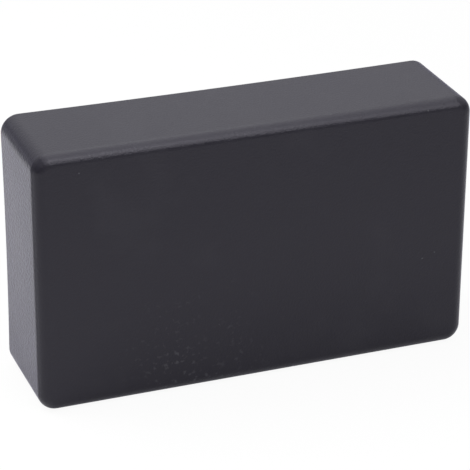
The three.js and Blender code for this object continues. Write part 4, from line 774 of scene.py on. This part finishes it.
amber_tape, shader, place = finish_of("amber_tape", (0.62, 0.33, 0.03), 0.2, IOR=1.6,
                                      Coat_Weight=0.4, Coat_Roughness=0.12)
clouded(shader, noise(place, 160), (0.55, 0.27, 0.018), (0.70, 0.40, 0.05))
bumped(shader, noise(place, 240, 2), 0.05)
tape = ring_on_limb("tape", 9.4, 18.4, 4.1, [
    (0.35, wind_low), (0.12, wind_low + 0.02), (0.1, wind_low + 0.25), (0, wind_low + 0.27),
    (0, wind_top - 0.3), (0.1, wind_top - 0.28), (0.12, wind_top - 0.02), (0.35, wind_top)], (12, 8))
tape_end = box_mesh("end", (CORE["x"] - 6, wind_low + 0.4, MID_Z + 18.36),
                    (CORE["x"] + 3, wind_top - 0.4, MID_Z + 18.44), 0.02)
finished("coil_tape", carved(tape, [], [tape_end]), amber_tape)

for number, side in enumerate((1, -1), 1):
    pin = revolve("pin", [(0, -3.6), (0.4, -3.6), (0.5, -3.45), (0.5, 3.1), (0.3, 3.4), (0, 3.4)], 24,
                  (PIN_X, 0, MID_Z + side * COIL["pin"]))
    finished(f"coil_pin_{number}", pin, nickel)

THERMAL_AXIS = (CORE["x"], 5.52, 50.15)
finished("thermal_fuse", revolve("can", [
    (0, -7.0), (0.36, -7.0), (0.4, -6.95), (0.4, -4.9), (0.55, -4.75), (0.75, -4.5), (1.1, -4.5),
    (1.2, -4.35), (1.2, -3.3), (1.12, -3.2), (1.12, -3.0), (1.2, -2.9), (1.2, 4.2), (1.0, 4.45),
    (0.5, 4.5), (0.4, 4.6), (0.4, 6.95), (0.36, 7.0), (0, 7.0)], 40, THERMAL_AXIS, "X"), nickel)

# ------------------------------------------------------------------ circuit board
# A small glass-epoxy board on four posts: a glass fuse in brass clips, and the film
# capacitor, dropper resistor and diode that feed the lamp. All is hand-soldered.

BOARD = {"x": 8.75, "z": 19.0, "top": -4.4, "under": -6.0, "side": 30}
BARE_GREENS = ((0.008, 0.060, 0.022), (0.016, 0.085, 0.032))
TRACE_GREEN = (0.030, 0.150, 0.055)


def on_board(x, z, height):
    """A place on the board, from its centre, that high above its upper face."""
    return (BOARD["x"] + x, BOARD["top"] + height, BOARD["z"] + z)


board_green, shader, place = finish_of("board_green", (0.02, 0.10, 0.035), 0.32, IOR=1.5,
                                       Coat_Weight=0.3, Coat_Roughness=0.2)
threads = [add_node(place.id_data, "ShaderNodeTexWave",
                    {"Vector": place, "Scale": 420, "Distortion": 0.6}, bands_direction=way)["Fac"]
           for way in ("X", "Z")]
weave = worked("ADD", *threads)
over_copper = ranged(part_of(place, "Y"), (BOARD["top"] + 0.01) * MM, (BOARD["top"] + 0.02) * MM)
bare_mask = mixed(ranged(weave, 0, 2), *BARE_GREENS)
fill(shader["Base Color"], mixed(over_copper, bare_mask, TRACE_GREEN))
patchy(shader, noise(place, 700), (0.24, 0.38))
bumped(shader, weave, 0.003)

plate = extruded("plate", [(BOARD["x"] + x, BOARD["z"] + z) for x, z in
                           rounded_outline(BOARD["side"], BOARD["side"], 1.0, 6, 2)],
                 BOARD["under"], BOARD["top"], lambda a, b, c: (a, c, b), 0.08)
# Traces under the mask, as [x, z, x, z] from the board's centre.
TRACES = [(-13.4, -1.5, -12.0, 1.5), (-13.4, 1.0, -5.0, 2.2), (-10.4, 2.2, -9.0, 10.4),
          (-5.2, 7.6, -3.2, 9.4), (4.8, 7.4, 6.6, 13.2), (-4.6, 12.2, -3.2, 14.2),
          (12.4, -0.8, 14.0, 1.6), (9.2, 8.2, 14.0, 9.8), (5.0, 2.4, 11.2, 3.4),
          (5.0, -9.6, 11.2, -8.6), (-8.8, -9.4, 6.2, -8.2), (0.7, -2.2, 1.9, 3.4)]
raised_traces = [box_mesh("trace", on_board(x0, z0, -0.2), on_board(x1, z1, 0.035))
                 for x0, z0, x1, z1 in TRACES]
board_holes = [plug(1.65, -8, -3, (x, 0, z)) for x, z in BOARD_SCREWS]
finished("circuit_board", carved(plate, board_holes, raised_traces), board_green)

# Copies of a model at the carrier's points, each sized and turned about Y by chance.
copy_tree, copies = tree_of("copies", Model=("Object", None), Least=("Float", 1.0),
                            Most=("Float", 1.0), Turn=("Float", 0.0), Seed=("Int", 1),
                            Metal=("Material", None))
copied = add_node(copy_tree, "GeometryNodeObjectInfo", {"Object": copies["Model"]})
copy_size, copy_turn = (
    add_node(copy_tree, "FunctionNodeRandomValue", {**limits, "Seed": copies["Seed"]},
             data_type="FLOAT")[1]
    for limits in ({"Min": copies["Least"], "Max": copies["Most"]}, {"Max": copies["Turn"]}))
copy_angle = add_node(copy_tree, "ShaderNodeCombineXYZ", {"Y": copy_turn})
placed = add_node(copy_tree, "GeometryNodeInstanceOnPoints",
                  {"Points": copies["Geometry"], "Instance": copied["Geometry"],
                   "Scale": copy_size, "Rotation": copy_angle[0]})
close_tree(copy_tree, placed[0], copies["Metal"])


def copies_of(mesh, places, seed, metal, **chances):
    """One mesh of copies of a model at places in millimetres."""
    model = linked("model", mesh)
    made = grown(copy_tree, point_mesh(places), Model=model, Seed=seed, Metal=metal, **chances)
    bpy.data.objects.remove(model)
    return made


RESISTOR = {"x": 14.45, "z": 16.0, "axis": -2.1, "half": 4.5, "pitch": 6.0, "lead": 0.35}
DIODE = {"x": 19.15, "z": 17.5, "axis": -2.45, "half": 2.6, "pitch": 4.5, "lead": 0.4}
WIRE_PADS = [(21.95, 19.4), (21.95, 28.0), (-4.45, 20.0), (4.85, 32.5), (12.65, 32.5)]
pads = [(part["x"], part["z"] + side * part["pitch"]) for part in (RESISTOR, DIODE)
        for side in (-1, 1)] + WIRE_PADS
joint = revolve("joint", [(0, -0.02), (1.0, -0.02), (0.98, 0.06), (0.7, 0.14), (0.5, 0.3),
                          (0.42, 0.55), (0.2, 0.6), (0, 0.6)], 20)
finished("solder_joints", copies_of(joint, [(x, BOARD["top"], z) for x, z in pads], 6, nickel,
                                    Least=0.85, Most=1.1), nickel, crease=60)

FUSE = {"y": -0.1, "z": 27.5, "glass": 2.2, "bore": 1.7, "half": 9.5, "length": 20.0}
FUSE_AXIS = (BOARD["x"], FUSE["y"], FUSE["z"])
fuse_glass, shader, place = finish_of("fuse_glass", (0.92, 0.96, 0.96), 0.03, IOR=1.5,
                                      Transmission_Weight=1.0)
patchy(shader, noise(place, 90), (0.02, 0.06))
bumped(shader, noise(place, 120), 0.01)
outer, bore, half = FUSE["glass"], FUSE["bore"], FUSE["half"]
glass_half = [(outer, half), (outer - 0.1, half + 0.1), (bore + 0.1, half + 0.1), (bore, half)]
glass_ring = [(r, -h) for r, h in reversed(glass_half)] + glass_half
finished("fuse_tube", revolve("tube", glass_ring, 48, FUSE_AXIS, "X"), fuse_glass)
sagging_wire = [(BOARD["x"] + x, FUSE["y"] - 0.5 * (1 - (x / half) ** 2), FUSE["z"])
                for x in (-half + 2 * half * k / 16 for k in range(17))]
finished("fuse_wire", rod_along(sagging_wire, 0.06, 8, nickel), nickel)

brass = plated("brass", (0.58, 0.38, 0.13), (0.74, 0.52, 0.21), (0.18, 0.34), 0.002)
CLIP = {"out": 7.4, "half": 2, "arc": 2.9, "mouth": 0.8, "tip": 3.35, "tip_angle": 0.72}
cap_profile = [(0, 0), (0.7, 0), (0.8, 0.05), (0.9, 0.05), (2.4, 0.05), (2.6, 0.25), (2.6, 4.9),
               (2.56, 5.15), (2.35, 5.2), (2.3, 5.15), (2.3, 0.4), (0, 0.4)]
clip_arc = [(CLIP["arc"] * math.sin(a), CLIP["arc"] * math.cos(a)) for a in
            (CLIP["mouth"] + 2 * (math.pi - CLIP["mouth"]) * k / 30 for k in range(31))]
tip_z, tip_y = (CLIP["tip"] * f(CLIP["tip_angle"]) for f in (math.sin, math.cos))
clip_line = [(FUSE["z"] + z, FUSE["y"] + y)
             for z, y in [(tip_z, tip_y), *clip_arc, (-tip_z, tip_y)]]
for number, side in enumerate((-1, 1), 1):
    end = side * FUSE["length"] / 2
    cap = revolve("cap", [(r, end - side * h) for r, h in cap_profile], 48, FUSE_AXIS, "X")
    finished(f"fuse_cap_{number}", cap, nickel)
    middle, half, z = BOARD["x"] + side * CLIP["out"], CLIP["half"], FUSE["z"]
    arms = extruded("arms", bent_strip(clip_line, 0.38, 0.05), middle - half, middle + half,
                    lambda a, b, c: (c, b, a), 0.04)
    foot = box_mesh("foot", (middle - half, -4.3, z - 3), (middle + half, -3.9, z + 3), 0.06)
    web = box_mesh("web", (middle - 1.9, -4.2, z - 1.5), (middle + 1.9, -2.9, z + 1.5), 0.1)
    finished(f"fuse_clip_{number}", carved(arms, [], [foot, web]), brass)

film_yellow = moulded("film_yellow", (0.52, 0.32, 0.025), (0.60, 0.39, 0.04), (0.3, 0.42), 0.004)
finished("film_capacitor", skin("capacitor", slab_rings(6.4, 12, 0.9, [
    (1.4, -4.0), (1.2, -4.3), (0.3, -4.3), *quarter_round(3, (0.1, -4.2), (0, -4.2), (0, -4.0)),
    *quarter_round(6, (0, 4.6), (0, 5.2), (0.6, 5.2))], (0.75, 17), (6, 3))), film_yellow)

TINNED = (0.62, 0.61, 0.58)


def axial_part(name, part, half_profile, paint_name, body, roughness, bands):
    """A painted body along Z, turned from half a profile [radius, height], on a tinned wire
    that is bent down to the board. Its bands are [from, to, colour] along Z."""
    paint, shader, place = finish_of(paint_name, body, roughness, IOR=1.5)
    dull = tuple(0.85 * c for c in body)
    colour = mixed(ranged(noise(place, 500), 0.3, 0.7), dull, body)
    offset = worked("SUBTRACT", part_of(place, "Z"), part["z"] * MM)
    for low, high, band in bands:
        inside = worked("COMPARE", offset, (low + high) / 2 * MM, (high - low) / 2 * MM)
        colour = mixed(inside, colour, band)
    bare = worked("GREATER_THAN", worked("ABSOLUTE", offset), (part["half"] + 0.02) * MM)
    fill(shader["Base Color"], mixed(bare, colour, TINNED))
    fill(shader["Metallic"], bare)
    bumped(shader, noise(place, 1600), 0.004)
    turned = revolve("body", half_profile + [(r, -h) for r, h in reversed(half_profile)], 40)
    centre = Matrix.Translation(Vector((part["x"], part["axis"], part["z"])) * MM)
    turned.transform(centre @ Matrix.Rotation(math.pi / 2, 4, "X"))
    low_end, high_end = part["z"] - part["pitch"], part["z"] + part["pitch"]
    route = [(part["x"], y, z) for y, z in (
        (BOARD["top"] + 0.1, low_end), (part["axis"], low_end), (part["axis"], high_end),
        (BOARD["top"] + 0.1, high_end))]
    wire = rod_along(eased_line(route, 0.9, 8), part["lead"], 14, paint)
    finished(name, carved(turned, [], [wire]), paint)


axial_part("dropper_resistor", RESISTOR, [
    (0, -4.5), (1.1, -4.5), *quarter_round(4, (1.3, -4.5), (1.7, -4.5), (1.7, -4.0)),
    (1.7, -2.6), (1.62, -2.2), (1.434, -1.7), (1.394, -1.4)],
    "resistor_blue", (0.17, 0.32, 0.42), 0.35,
    [(-3.6, -3.0, (0.10, 0.035, 0.012)), (-2.1, -1.6, (0.008, 0.008, 0.008)),
     (-0.8, -0.3, (0.45, 0.12, 0.008)), (2.9, 3.5, (0.42, 0.26, 0.06))])
axial_part("diode", DIODE, [
    (0, -2.6), (1.0, -2.6), *quarter_round(4, (1.15, -2.6), (1.35, -2.6), (1.35, -2.35))],
    "diode_black", (0.012, 0.012, 0.013), 0.4, [(1.2, 1.9, (0.48, 0.48, 0.47))])

# ------------------------------------------------------------------ leads
# Seven hand-cut leads in PVC insulation, each soldered at both ends: from the inlet to the
# board, through the fuse to the switch, and on through the thermal fuse to the coil.

LEAD_RADIUS = 0.8


def to_lug(x):
    """The way of a lead from the board's edge to the switch's lug at x."""
    return [(x, -4.1, 32.5), (x, -2.9, 32.8), (x, -3.0, 34.3), (x, -5.35, 41.3), (x, -5.95, 44.5)]


LEADS = {
    "wire_inlet_live": ("brown", [(29, 0, 25.7), (27, 0, 25.3), (23.55, -0.9, 22.6),
                                  (21.95, -2.3, 19.6), (21.95, -4.1, 19.4)]),
    "wire_inlet_neutral": ("blue", [(29, 0, 34.3), (27, 0, 34.1), (23.55, -0.7, 31.2),
                                    (21.95, -2.3, 28.2), (21.95, -4.1, 28)]),
    "wire_board_to_switch": ("brown", to_lug(4.85)),
    "wire_switch_to_board": ("red", to_lug(12.65)),
    "wire_switch_to_coil": ("red", [(12.65, -5.95, 47.5), (12.65, -5.95, 49.1), (8.65, -5.75, 53.8),
                                    (-3.25, -0.48, 55.0), (-21.7, 2.52, 55.4), (-37.4, 4.92, 54.4),
                                    (-39.4, 5.52, 52.35), (-37.2, 5.52, 50.35), (-35.0, 5.52, 50.15)]),
    "wire_thermal_to_coil": ("white", [(-20.4, 5.52, 50.15), (-18.2, 5.52, 50.05), (-12.65, 3.4, 49.25),
                                       (-13.25, 2.0, 46.95), (-15.05, 1.8, 46.65)]),
    "wire_board_to_coil": ("blue", [(-4.45, -4.1, 20), (-4.45, -1.9, 19.6), (-6.25, 0.9, 16.6),
                                    (-12.85, 1.8, 13.65), (-15.05, 1.8, 13.35)]),
}
INSULATION = {"brown": ((0.075, 0.030, 0.012), (0.105, 0.045, 0.018)),
              "blue": ((0.010, 0.050, 0.24), (0.016, 0.075, 0.32)),
              "red": ((0.28, 0.012, 0.010), (0.37, 0.020, 0.016)),
              "white": ((0.58, 0.57, 0.53), (0.66, 0.65, 0.61))}
insulation = {hue: moulded(f"wire_{hue}", dark, light, (0.34, 0.46), 0.003)
              for hue, (dark, light) in INSULATION.items()}


def smooth_route(points, steps=10):
    """A smooth line through points: each span bends by how far its neighbours lie."""
    knots = [Vector(p) for p in points]
    knots = [2 * knots[0] - knots[1], *knots, 2 * knots[-1] - knots[-2]]
    line = []
    for p0, p1, p2, p3 in zip(knots, knots[1:], knots[2:], knots[3:]):
        d1, d2, d3 = (math.sqrt((b - a).length) for a, b in ((p0, p1), (p1, p2), (p2, p3)))
        lean_1 = (p1 - p0) / d1 - (p2 - p0) / (d1 + d2) + (p2 - p1) / d2
        lean_2 = (p2 - p1) / d2 - (p3 - p1) / (d2 + d3) + (p3 - p2) / d3
        for t in (k / steps for k in range(steps)):
            line.append((2 * t**3 - 3 * t**2 + 1) * p1 + (t**3 - 2 * t**2 + t) * d2 * lean_1
                        + (3 * t**2 - 2 * t**3) * p2 + (t**3 - t**2) * d2 * lean_2)
    return line + [knots[-2]]


tinned_ends = []
for name, (hue, route) in LEADS.items():
    line = smooth_route(route)
    finished(name, rod_along(line, LEAD_RADIUS, 16, insulation[hue]), insulation[hue], crease=50)
    for end, inner in ((line[0], line[1]), (line[-1], line[-2])):
        outward = (end - inner).normalized()
        tinned_ends.append(rod_along([end - 0.2 * outward, end + 0.35 * outward], 0.45, 12, nickel))
finished("tinned_ends", merged("ends", tinned_ends), nickel)

# ------------------------------------------------------------------ lid
# The moulded lid drops into the open back. Watches are laid on its shallow recessed panel,
# over the three poles. It has countersunk corner holes, two bored seats and locating ribs.

LID = {"width": 97.1, "height": 57.1, "corner": 2.55, "top": 12.4, "under": 10.2, "panel": 12.0,
       "seat": 11.8, "rib_top": 10.75, "rib_low": 8.6}
BUTTON_AXIS, LAMP_AXIS = (8.75, 0.0, 46.0), (8.75, 0.0, 18.0)

top, under, panel, seat = (LID[k] for k in ("top", "under", "panel", "seat"))
lid_plate = skin("lid", slab_rings(LID["width"], LID["height"], LID["corner"], [
    (1.5, under), (0.15, under), (0, under + 0.15),
    *quarter_round(4, (0, top - 0.25), (0, top), (0.25, top)), (1.5, top)], steps=(10, 4)))
panel_cut = skin("panel", slab_rings(80, 50, 2.5, [
    (1.2, panel), *quarter_round(3, (0.2, panel), (0, panel), (0, panel + 0.15)),
    *quarter_round(4, (0, top - 0.15), (0, top), (-0.18, top)), (-0.18, top + 1)], steps=(10, 4)))
lid_ribs = []
for side in (-1, 1):
    edge_x, edge_z = sorted((side * 47.55, side * 46.35)), sorted((side * 27.55, side * 26.35))
    for (x0, x1), (z0, z1) in ((edge_x, (-18.4, 18.4)), ((-38.4, 38.4), edge_z)):
        lid_ribs.append(box_mesh("rib", (x0, LID["rib_low"], MID_Z + z0),
                                 (x1, LID["rib_top"], MID_Z + z1), 0.12))


def bored_seat(bore, seat_radius, place):
    """A hole through the lid under a wider flat seat, its mouth eased."""
    return revolve("seat", [(0, 9), (bore, 9), (bore, seat - 0.1), (bore + 0.1, seat),
                            (seat_radius, seat), (seat_radius, panel - 0.08),
                            (seat_radius + 0.08, panel), (seat_radius + 0.08, 13), (0, 13)], 96, place)


screw_sinks = [revolve("sink", [(0, 9), (1.65, 9), (1.65, top - 1.3), (2.7, top), (2.7, 13), (0, 13)],
                       64, (x, 0, z)) for x, z in BOSS_PLACES]
lid_mesh = carved(lid_plate, [panel_cut, *screw_sinks, bored_seat(6.1, 7.2, BUTTON_AXIS),
                              bored_seat(3.3, 4.2, LAMP_AXIS)], lid_ribs)
finished("lid", lid_mesh, black_shell)

# ------------------------------------------------------------------ push-button switch
# A bought-in panel push-button: a turned nickel-plated bushing that a washer and a nut
# clamp behind the lid, a phenolic base with two brass lugs, and a spring-backed red
# plunger that carries the contact bridge down onto them.

SEAT_Y = LID["seat"]
BUTTON_X, _, BUTTON_Z = BUTTON_AXIS


def from_seat(profile, axis=BUTTON_AXIS, steps=96):
    """A turned piece of the switch or the lamp, its heights from the seats in the lid."""
    return revolve("turned", [(r, SEAT_Y + y) for r, y in profile], steps, axis)


# A screw thread: a triangular ridge on a helix about the Y axis, through Place.
thread_tree, thread = tree_of("screw_thread", Radius=("Float", 0.005), Pitch=("Float", 0.0005),
                              Turns=("Float", 8.0), Ridge=("Float", 0.0003),
                              Place=("Vector", (0.0, 0.0, 0.0)), Metal=("Material", None))
thread_height = worked("MULTIPLY", thread["Pitch"], thread["Turns"])
helix = add_node(thread_tree, "GeometryNodeCurveSpiral", {
    "Resolution": 40, "Rotations": thread["Turns"], "Start Radius": thread["Radius"],
    "End Radius": thread["Radius"], "Height": thread_height, "Reverse": False})
upright = add_node(thread_tree, "GeometryNodeSetCurveNormal", {"Curve": helix[0]}, mode="Z_UP")
ridge = add_node(thread_tree, "GeometryNodeCurvePrimitiveCircle",
                 {"Resolution": 3, "Radius": thread["Ridge"]})
swept = add_node(thread_tree, "GeometryNodeCurveToMesh",
                 {"Curve": upright[0], "Profile Curve": ridge[0], "Fill Caps": True})
laid = add_node(thread_tree, "GeometryNodeTransform",
                {"Geometry": swept[0], "Translation": thread["Place"],
                 "Rotation": (-math.pi / 2, 0.0, 0.0)})
joined_thread = add_node(thread_tree, "GeometryNodeJoinGeometry", {0: thread["Geometry"]})[0]
fill(joined_thread.node.inputs[0], laid[0])
close_tree(thread_tree, joined_thread, thread["Metal"])


def threaded(blank, radius, pitch, turns, ridge_size, start, metal):
    """The blank with a thread from start, a place in millimetres."""
    return grown(thread_tree, blank, Radius=radius * MM, Pitch=pitch * MM, Turns=turns,
                 Ridge=ridge_size * MM, Place=tuple(Vector(start) * MM), Metal=metal)


bushing = from_seat([
    (4.75, -14.6), (5.5, -14.6), (5.6, -14.5), (5.6, -8.0), (5.6, 0.1), (6.9, 0.1), (7.0, 0.2),
    *quarter_round(6, (7.0, 1.5), (7.0, 2.1), (6.4, 2.1)),
    *quarter_round(4, (4.2, 2.1), (3.95, 2.1), (3.95, 1.85)),
    (3.95, -1.05), (4.0, -1.1), (4.75, -1.1)])
finished("switch_body", threaded(bushing, 5.65, 0.75, 9.5, 0.24,
                                 (BUTTON_X, SEAT_Y - 7.7, BUTTON_Z), nickel), nickel)
finished("switch_washer", from_seat([
    (6.0, -2.2), (7.4, -2.2), (7.5, -2.1), (7.5, -1.8), (7.4, -1.7), (6.0, -1.7)]), zinc_steel)

NUT_FLATS = 14.0


def hexagon_ring(y, limit, count=96):
    """A ring round the nut's six flats, its corners cut back to a radius of limit."""
    points = []
    for angle in (2 * math.pi * k / count for k in range(count)):
        reach = NUT_FLATS / 2 / math.cos((angle - math.pi / 6) % (math.pi / 3) - math.pi / 6)
        radius = min(reach, limit)
        points.append((BUTTON_X + radius * math.sin(angle), SEAT_Y + y,
                       BUTTON_Z + radius * math.cos(angle)))
    return points


nut_blank = skin("nut", [hexagon_ring(y, limit) for y, limit in
                         ((-4.3, 7.05), (-3.9, 8.2), (-2.7, 8.2), (-2.3, 7.05))])
nut_bore = from_seat([(0, -5), (6.25, -5), (6.0, -4.15), (6.0, -2.45), (6.25, -1), (0, -1)])
finished("switch_nut", carved(nut_blank, [nut_bore]), nickel)

LUG_OUT = 3.9
lug_places = [BUTTON_X + side * LUG_OUT for side in (-1, 1)]
base_blank = from_seat([
    (0, -16.0), (5.4, -16.0), (5.6, -15.8), (5.6, -14.7), (4.65, -14.7), (4.65, -13.75),
    (4.6, -13.7), (0, -13.7)])
lug_slots = [box_mesh("slot", (x - 0.4, SEAT_Y - 17, 44.7), (x + 0.4, SEAT_Y - 13, 47.3))
             for x in lug_places]
finished("switch_base", carved(base_blank, lug_slots), black_plastic)

for number, (side, x) in enumerate(zip((-1, 1), lug_places), 1):
    outer, inner = x + side * 0.3, x - side * 0.3
    strip = extruded("terminal", [
        (inner, SEAT_Y - 19.5), (outer, SEAT_Y - 19.5), (outer, SEAT_Y - 7.7),
        (inner - side, SEAT_Y - 7.7), (inner - side, SEAT_Y - 8.3), (inner, SEAT_Y - 8.3)],
        44.8, 47.2)
    solder_hole = plug(0.5, -2, 2, (x, SEAT_Y - 18.2, BUTTON_Z), 24, "X")
    finished(f"switch_terminal_{number}", carved(strip, [solder_hole]), brass)

bridge_strip = extruded("bridge", [
    (-4.2, -1.1), (-4.0, -1.3), (4.0, -1.3), (4.2, -1.1), (4.2, 1.1), (4.0, 1.3), (-4.0, 1.3),
    (-4.2, 1.1)], SEAT_Y - 5.0, SEAT_Y - 4.5, lambda a, b, c: (BUTTON_X + a, c, BUTTON_Z + b))
bridge_eye = from_seat([(0, -5.0), (2.28, -5.0), (2.33, -4.95), (2.33, -4.55), (2.28, -4.5),
                        (0, -4.5)], steps=48)
bridge_rivets = [revolve("rivet", [(0, SEAT_Y - 5.12), (0.5, SEAT_Y - 5.1), (0.75, SEAT_Y - 4.9),
                                   (0, SEAT_Y - 4.8)], 24, (BUTTON_X + side * 3.2, 0, BUTTON_Z))
                 for side in (-1, 1)]
bridge_hole = plug(1.4, SEAT_Y - 6, SEAT_Y - 4, BUTTON_AXIS)
finished("contact_bridge", carved(bridge_strip, [bridge_hole], [bridge_eye, *bridge_rivets]), brass,
         "button")

red_button = moulded("red_button", (0.36, 0.012, 0.013), (0.42, 0.014, 0.015), (0.24, 0.34), 0.003)
finished("button_cap", from_seat([
    (0, -8.0), (1.15, -8.0), (1.3, -7.85), (1.3, -4.4), (4.35, -4.4), (4.5, -4.25), (4.5, -1.5),
    (4.4, -1.4), (3.75, -1.4), *quarter_round(8, (3.75, 4.3), (3.75, 5.0), (3.1, 5.05)),
    (2.5, 5.14), (1.8, 5.22), (1.0, 5.28), (0, 5.3)]), red_button, "button")

SPRING = {"radius": 2.0, "wire": 0.225, "bottom": -1.575, "top": 6.475, "turns": 7, "steps": 32}
spring_steel = plated("spring_steel", (0.50, 0.51, 0.53), (0.62, 0.63, 0.65), (0.2, 0.3), 0.001)
spring_steps = SPRING["turns"] * SPRING["steps"]
spring_points = []
for share in (k / spring_steps for k in range(spring_steps + 1)):
    angle = 2 * math.pi * SPRING["turns"] * share
    spring_points.append((BUTTON_X + SPRING["radius"] * math.cos(angle),
                          SPRING["bottom"] + share * (SPRING["top"] - SPRING["bottom"]),
                          BUTTON_Z + SPRING["radius"] * math.sin(angle)))
spring = finished("button_spring", rod_along(spring_points, SPRING["wire"], 12, spring_steel),
                  spring_steel)
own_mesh(spring)

# ------------------------------------------------------------------ lamp
# A 5 mm red indicator lamp of cast epoxy in a polished ring that presses into the lid,
# held off the board by a black spacer that its two leads run through.

LAMP_X, _, LAMP_Z = LAMP_AXIS
lead_places = [LAMP_X + side * 1.27 for side in (-1, 1)]

red_lens, shader, place = finish_of(
    "red_lens", (0.50, 0.008, 0.012), 0.12, IOR=1.5, Coat_Weight=0.6, Coat_Roughness=0.05,
    Subsurface_Weight=0.15, Subsurface_Scale=0.001)
clouded(shader, noise(place, 300), (0.42, 0.006, 0.010), (0.56, 0.012, 0.016))
bumped(shader, noise(place, 1200), 0.001)

lens_dome = [(2.5 * math.cos(a), 2.5 * math.sin(a)) for a in
             (math.pi / 2 * k / 16 for k in range(16))]
lens_blank = from_seat([(0, -6.1), (2.8, -6.1), (2.9, -6.0), (2.9, -5.2), (2.8, -5.1), (2.5, -5.1),
                        *lens_dome, (0, 2.5)], LAMP_AXIS, 64)
cathode_flat = box_mesh("flat", (5, SEAT_Y - 7, 14), (6.2, SEAT_Y - 5.05, 22))
finished("led_lamp", carved(lens_blank, [cathode_flat]), red_lens)

finished("led_bezel", from_seat([
    (2.6, -2.8), (3.1, -2.8), (3.2, -2.7), (3.2, 0.1), (3.95, 0.1), (4.0, 0.15),
    *quarter_round(5, (4.0, 0.5), (4.0, 0.9), (3.5, 0.9)),
    *quarter_round(4, (2.85, 0.9), (2.6, 0.9), (2.6, 0.65))], LAMP_AXIS, 64), nickel)

lead_bores = [plug(0.45, SEAT_Y - 17, SEAT_Y - 5, (x, 0, LAMP_Z), 24) for x in lead_places]
spacer_blank = from_seat([(0, -16.1), (2.85, -16.1), (3.0, -15.95), (3.0, -6.35), (2.85, -6.2),
                          (0, -6.2)], LAMP_AXIS, 64)
finished("led_spacer", carved(spacer_blank, lead_bores), black_plastic)
for number, x in enumerate(lead_places, 1):
    finished(f"led_lead_{number}", box_mesh("lead", (x - 0.25, SEAT_Y - 16.1, LAMP_Z - 0.25),
                                            (x + 0.25, SEAT_Y - 6.2, LAMP_Z + 0.25), 0.05), nickel)

# ------------------------------------------------------------------ screws
# Cold-headed, thread-rolled self-tapping screws: four black countersunk ones close the lid,
# and zinc-plated pan heads hold the core's bracket and the board to the tub's bosses.

def cross_recess(top):
    """The crossed driver socket, tapering down from the head's face at y = top."""
    wings = []
    for flip in (False, True):
        rings = []
        for depth, span, width in ((-0.5, 1.45, 0.40), (0.0, 1.3, 0.36), (0.9, 0.55, 0.28)):
            corners = [(span, width), (-span, width), (-span, -width), (span, -width)]
            rings.append([(z, top - depth, x) if flip else (x, top - depth, z)
                          for x, z in corners])
        wings.append(skin("wing", rings))
    return wings


def screws(name, profile, top, ridge_from, turns, places, seed, metal):
    """Screws at places, turned by chance, as one piece that stands for numbered nodes: their
    turned blank, its driver socket below y = top, and a thread from y = ridge_from."""
    blank = carved(revolve("screw", profile, 48), cross_recess(top))
    model = threaded(blank, 1.16, 1.0, turns, 0.28, (0, ridge_from, 0), metal)
    finished(name + "s", copies_of(model, places, seed, metal, Turn=2 * math.pi), metal,
             nodes=[f"{name}_{i + 1}" for i in range(len(places))])


black_steel, shader, place = finish_of("black_steel", (0.02, 0.02, 0.022), 0.4, metallic=0.8)
worn = ranged(noise(place, 1500), 0.58, 0.72)
fill(shader["Base Color"], mixed(worn, (0.018, 0.018, 0.021), (0.09, 0.085, 0.08)))
patchy(shader, noise(place, 2400), (0.32, 0.5))
bumped(shader, noise(place, 4000), 0.003)

screws("lid_screw", [
    (0, -10.95), (0.35, -10.9), (1.1, -9.2), (1.1, -1.75), (1.45, -1.5), (1.45, -1.3), (2.52, -0.08),
    (2.58, -0.02), (2.5, 0), (0, 0)], 0, -9.6, 7.6,
    [(x, LID["top"] - 0.1, z) for x, z in BOSS_PLACES], 5, black_steel)


def pan_screws(name, grip, places, seed):
    """Pan-head screws that grip that thickness, each head seated at its place."""
    end = -grip - 2.5
    dome = quarter_round(8, (2.7, 0.7), (2.7, 1.9), (1.3, 1.85))
    screws(name, [(0, end - 0.1), (1.0, end - 0.1), (1.15, end + 0.1), (1.15, 0), (2.6, 0),
                  (2.7, 0.12), *dome, (0, 1.9)], 1.88, end + 0.3, grip + 1.6, places, seed, zinc_steel)


pan_screws("bracket_screw", 0.8, [(x, -6.3, z) for x, z in BRACKET_SCREWS], 11)
pan_screws("board_screw", 1.6, [(x, -4.3, z) for x, z in BOARD_SCREWS], 17)
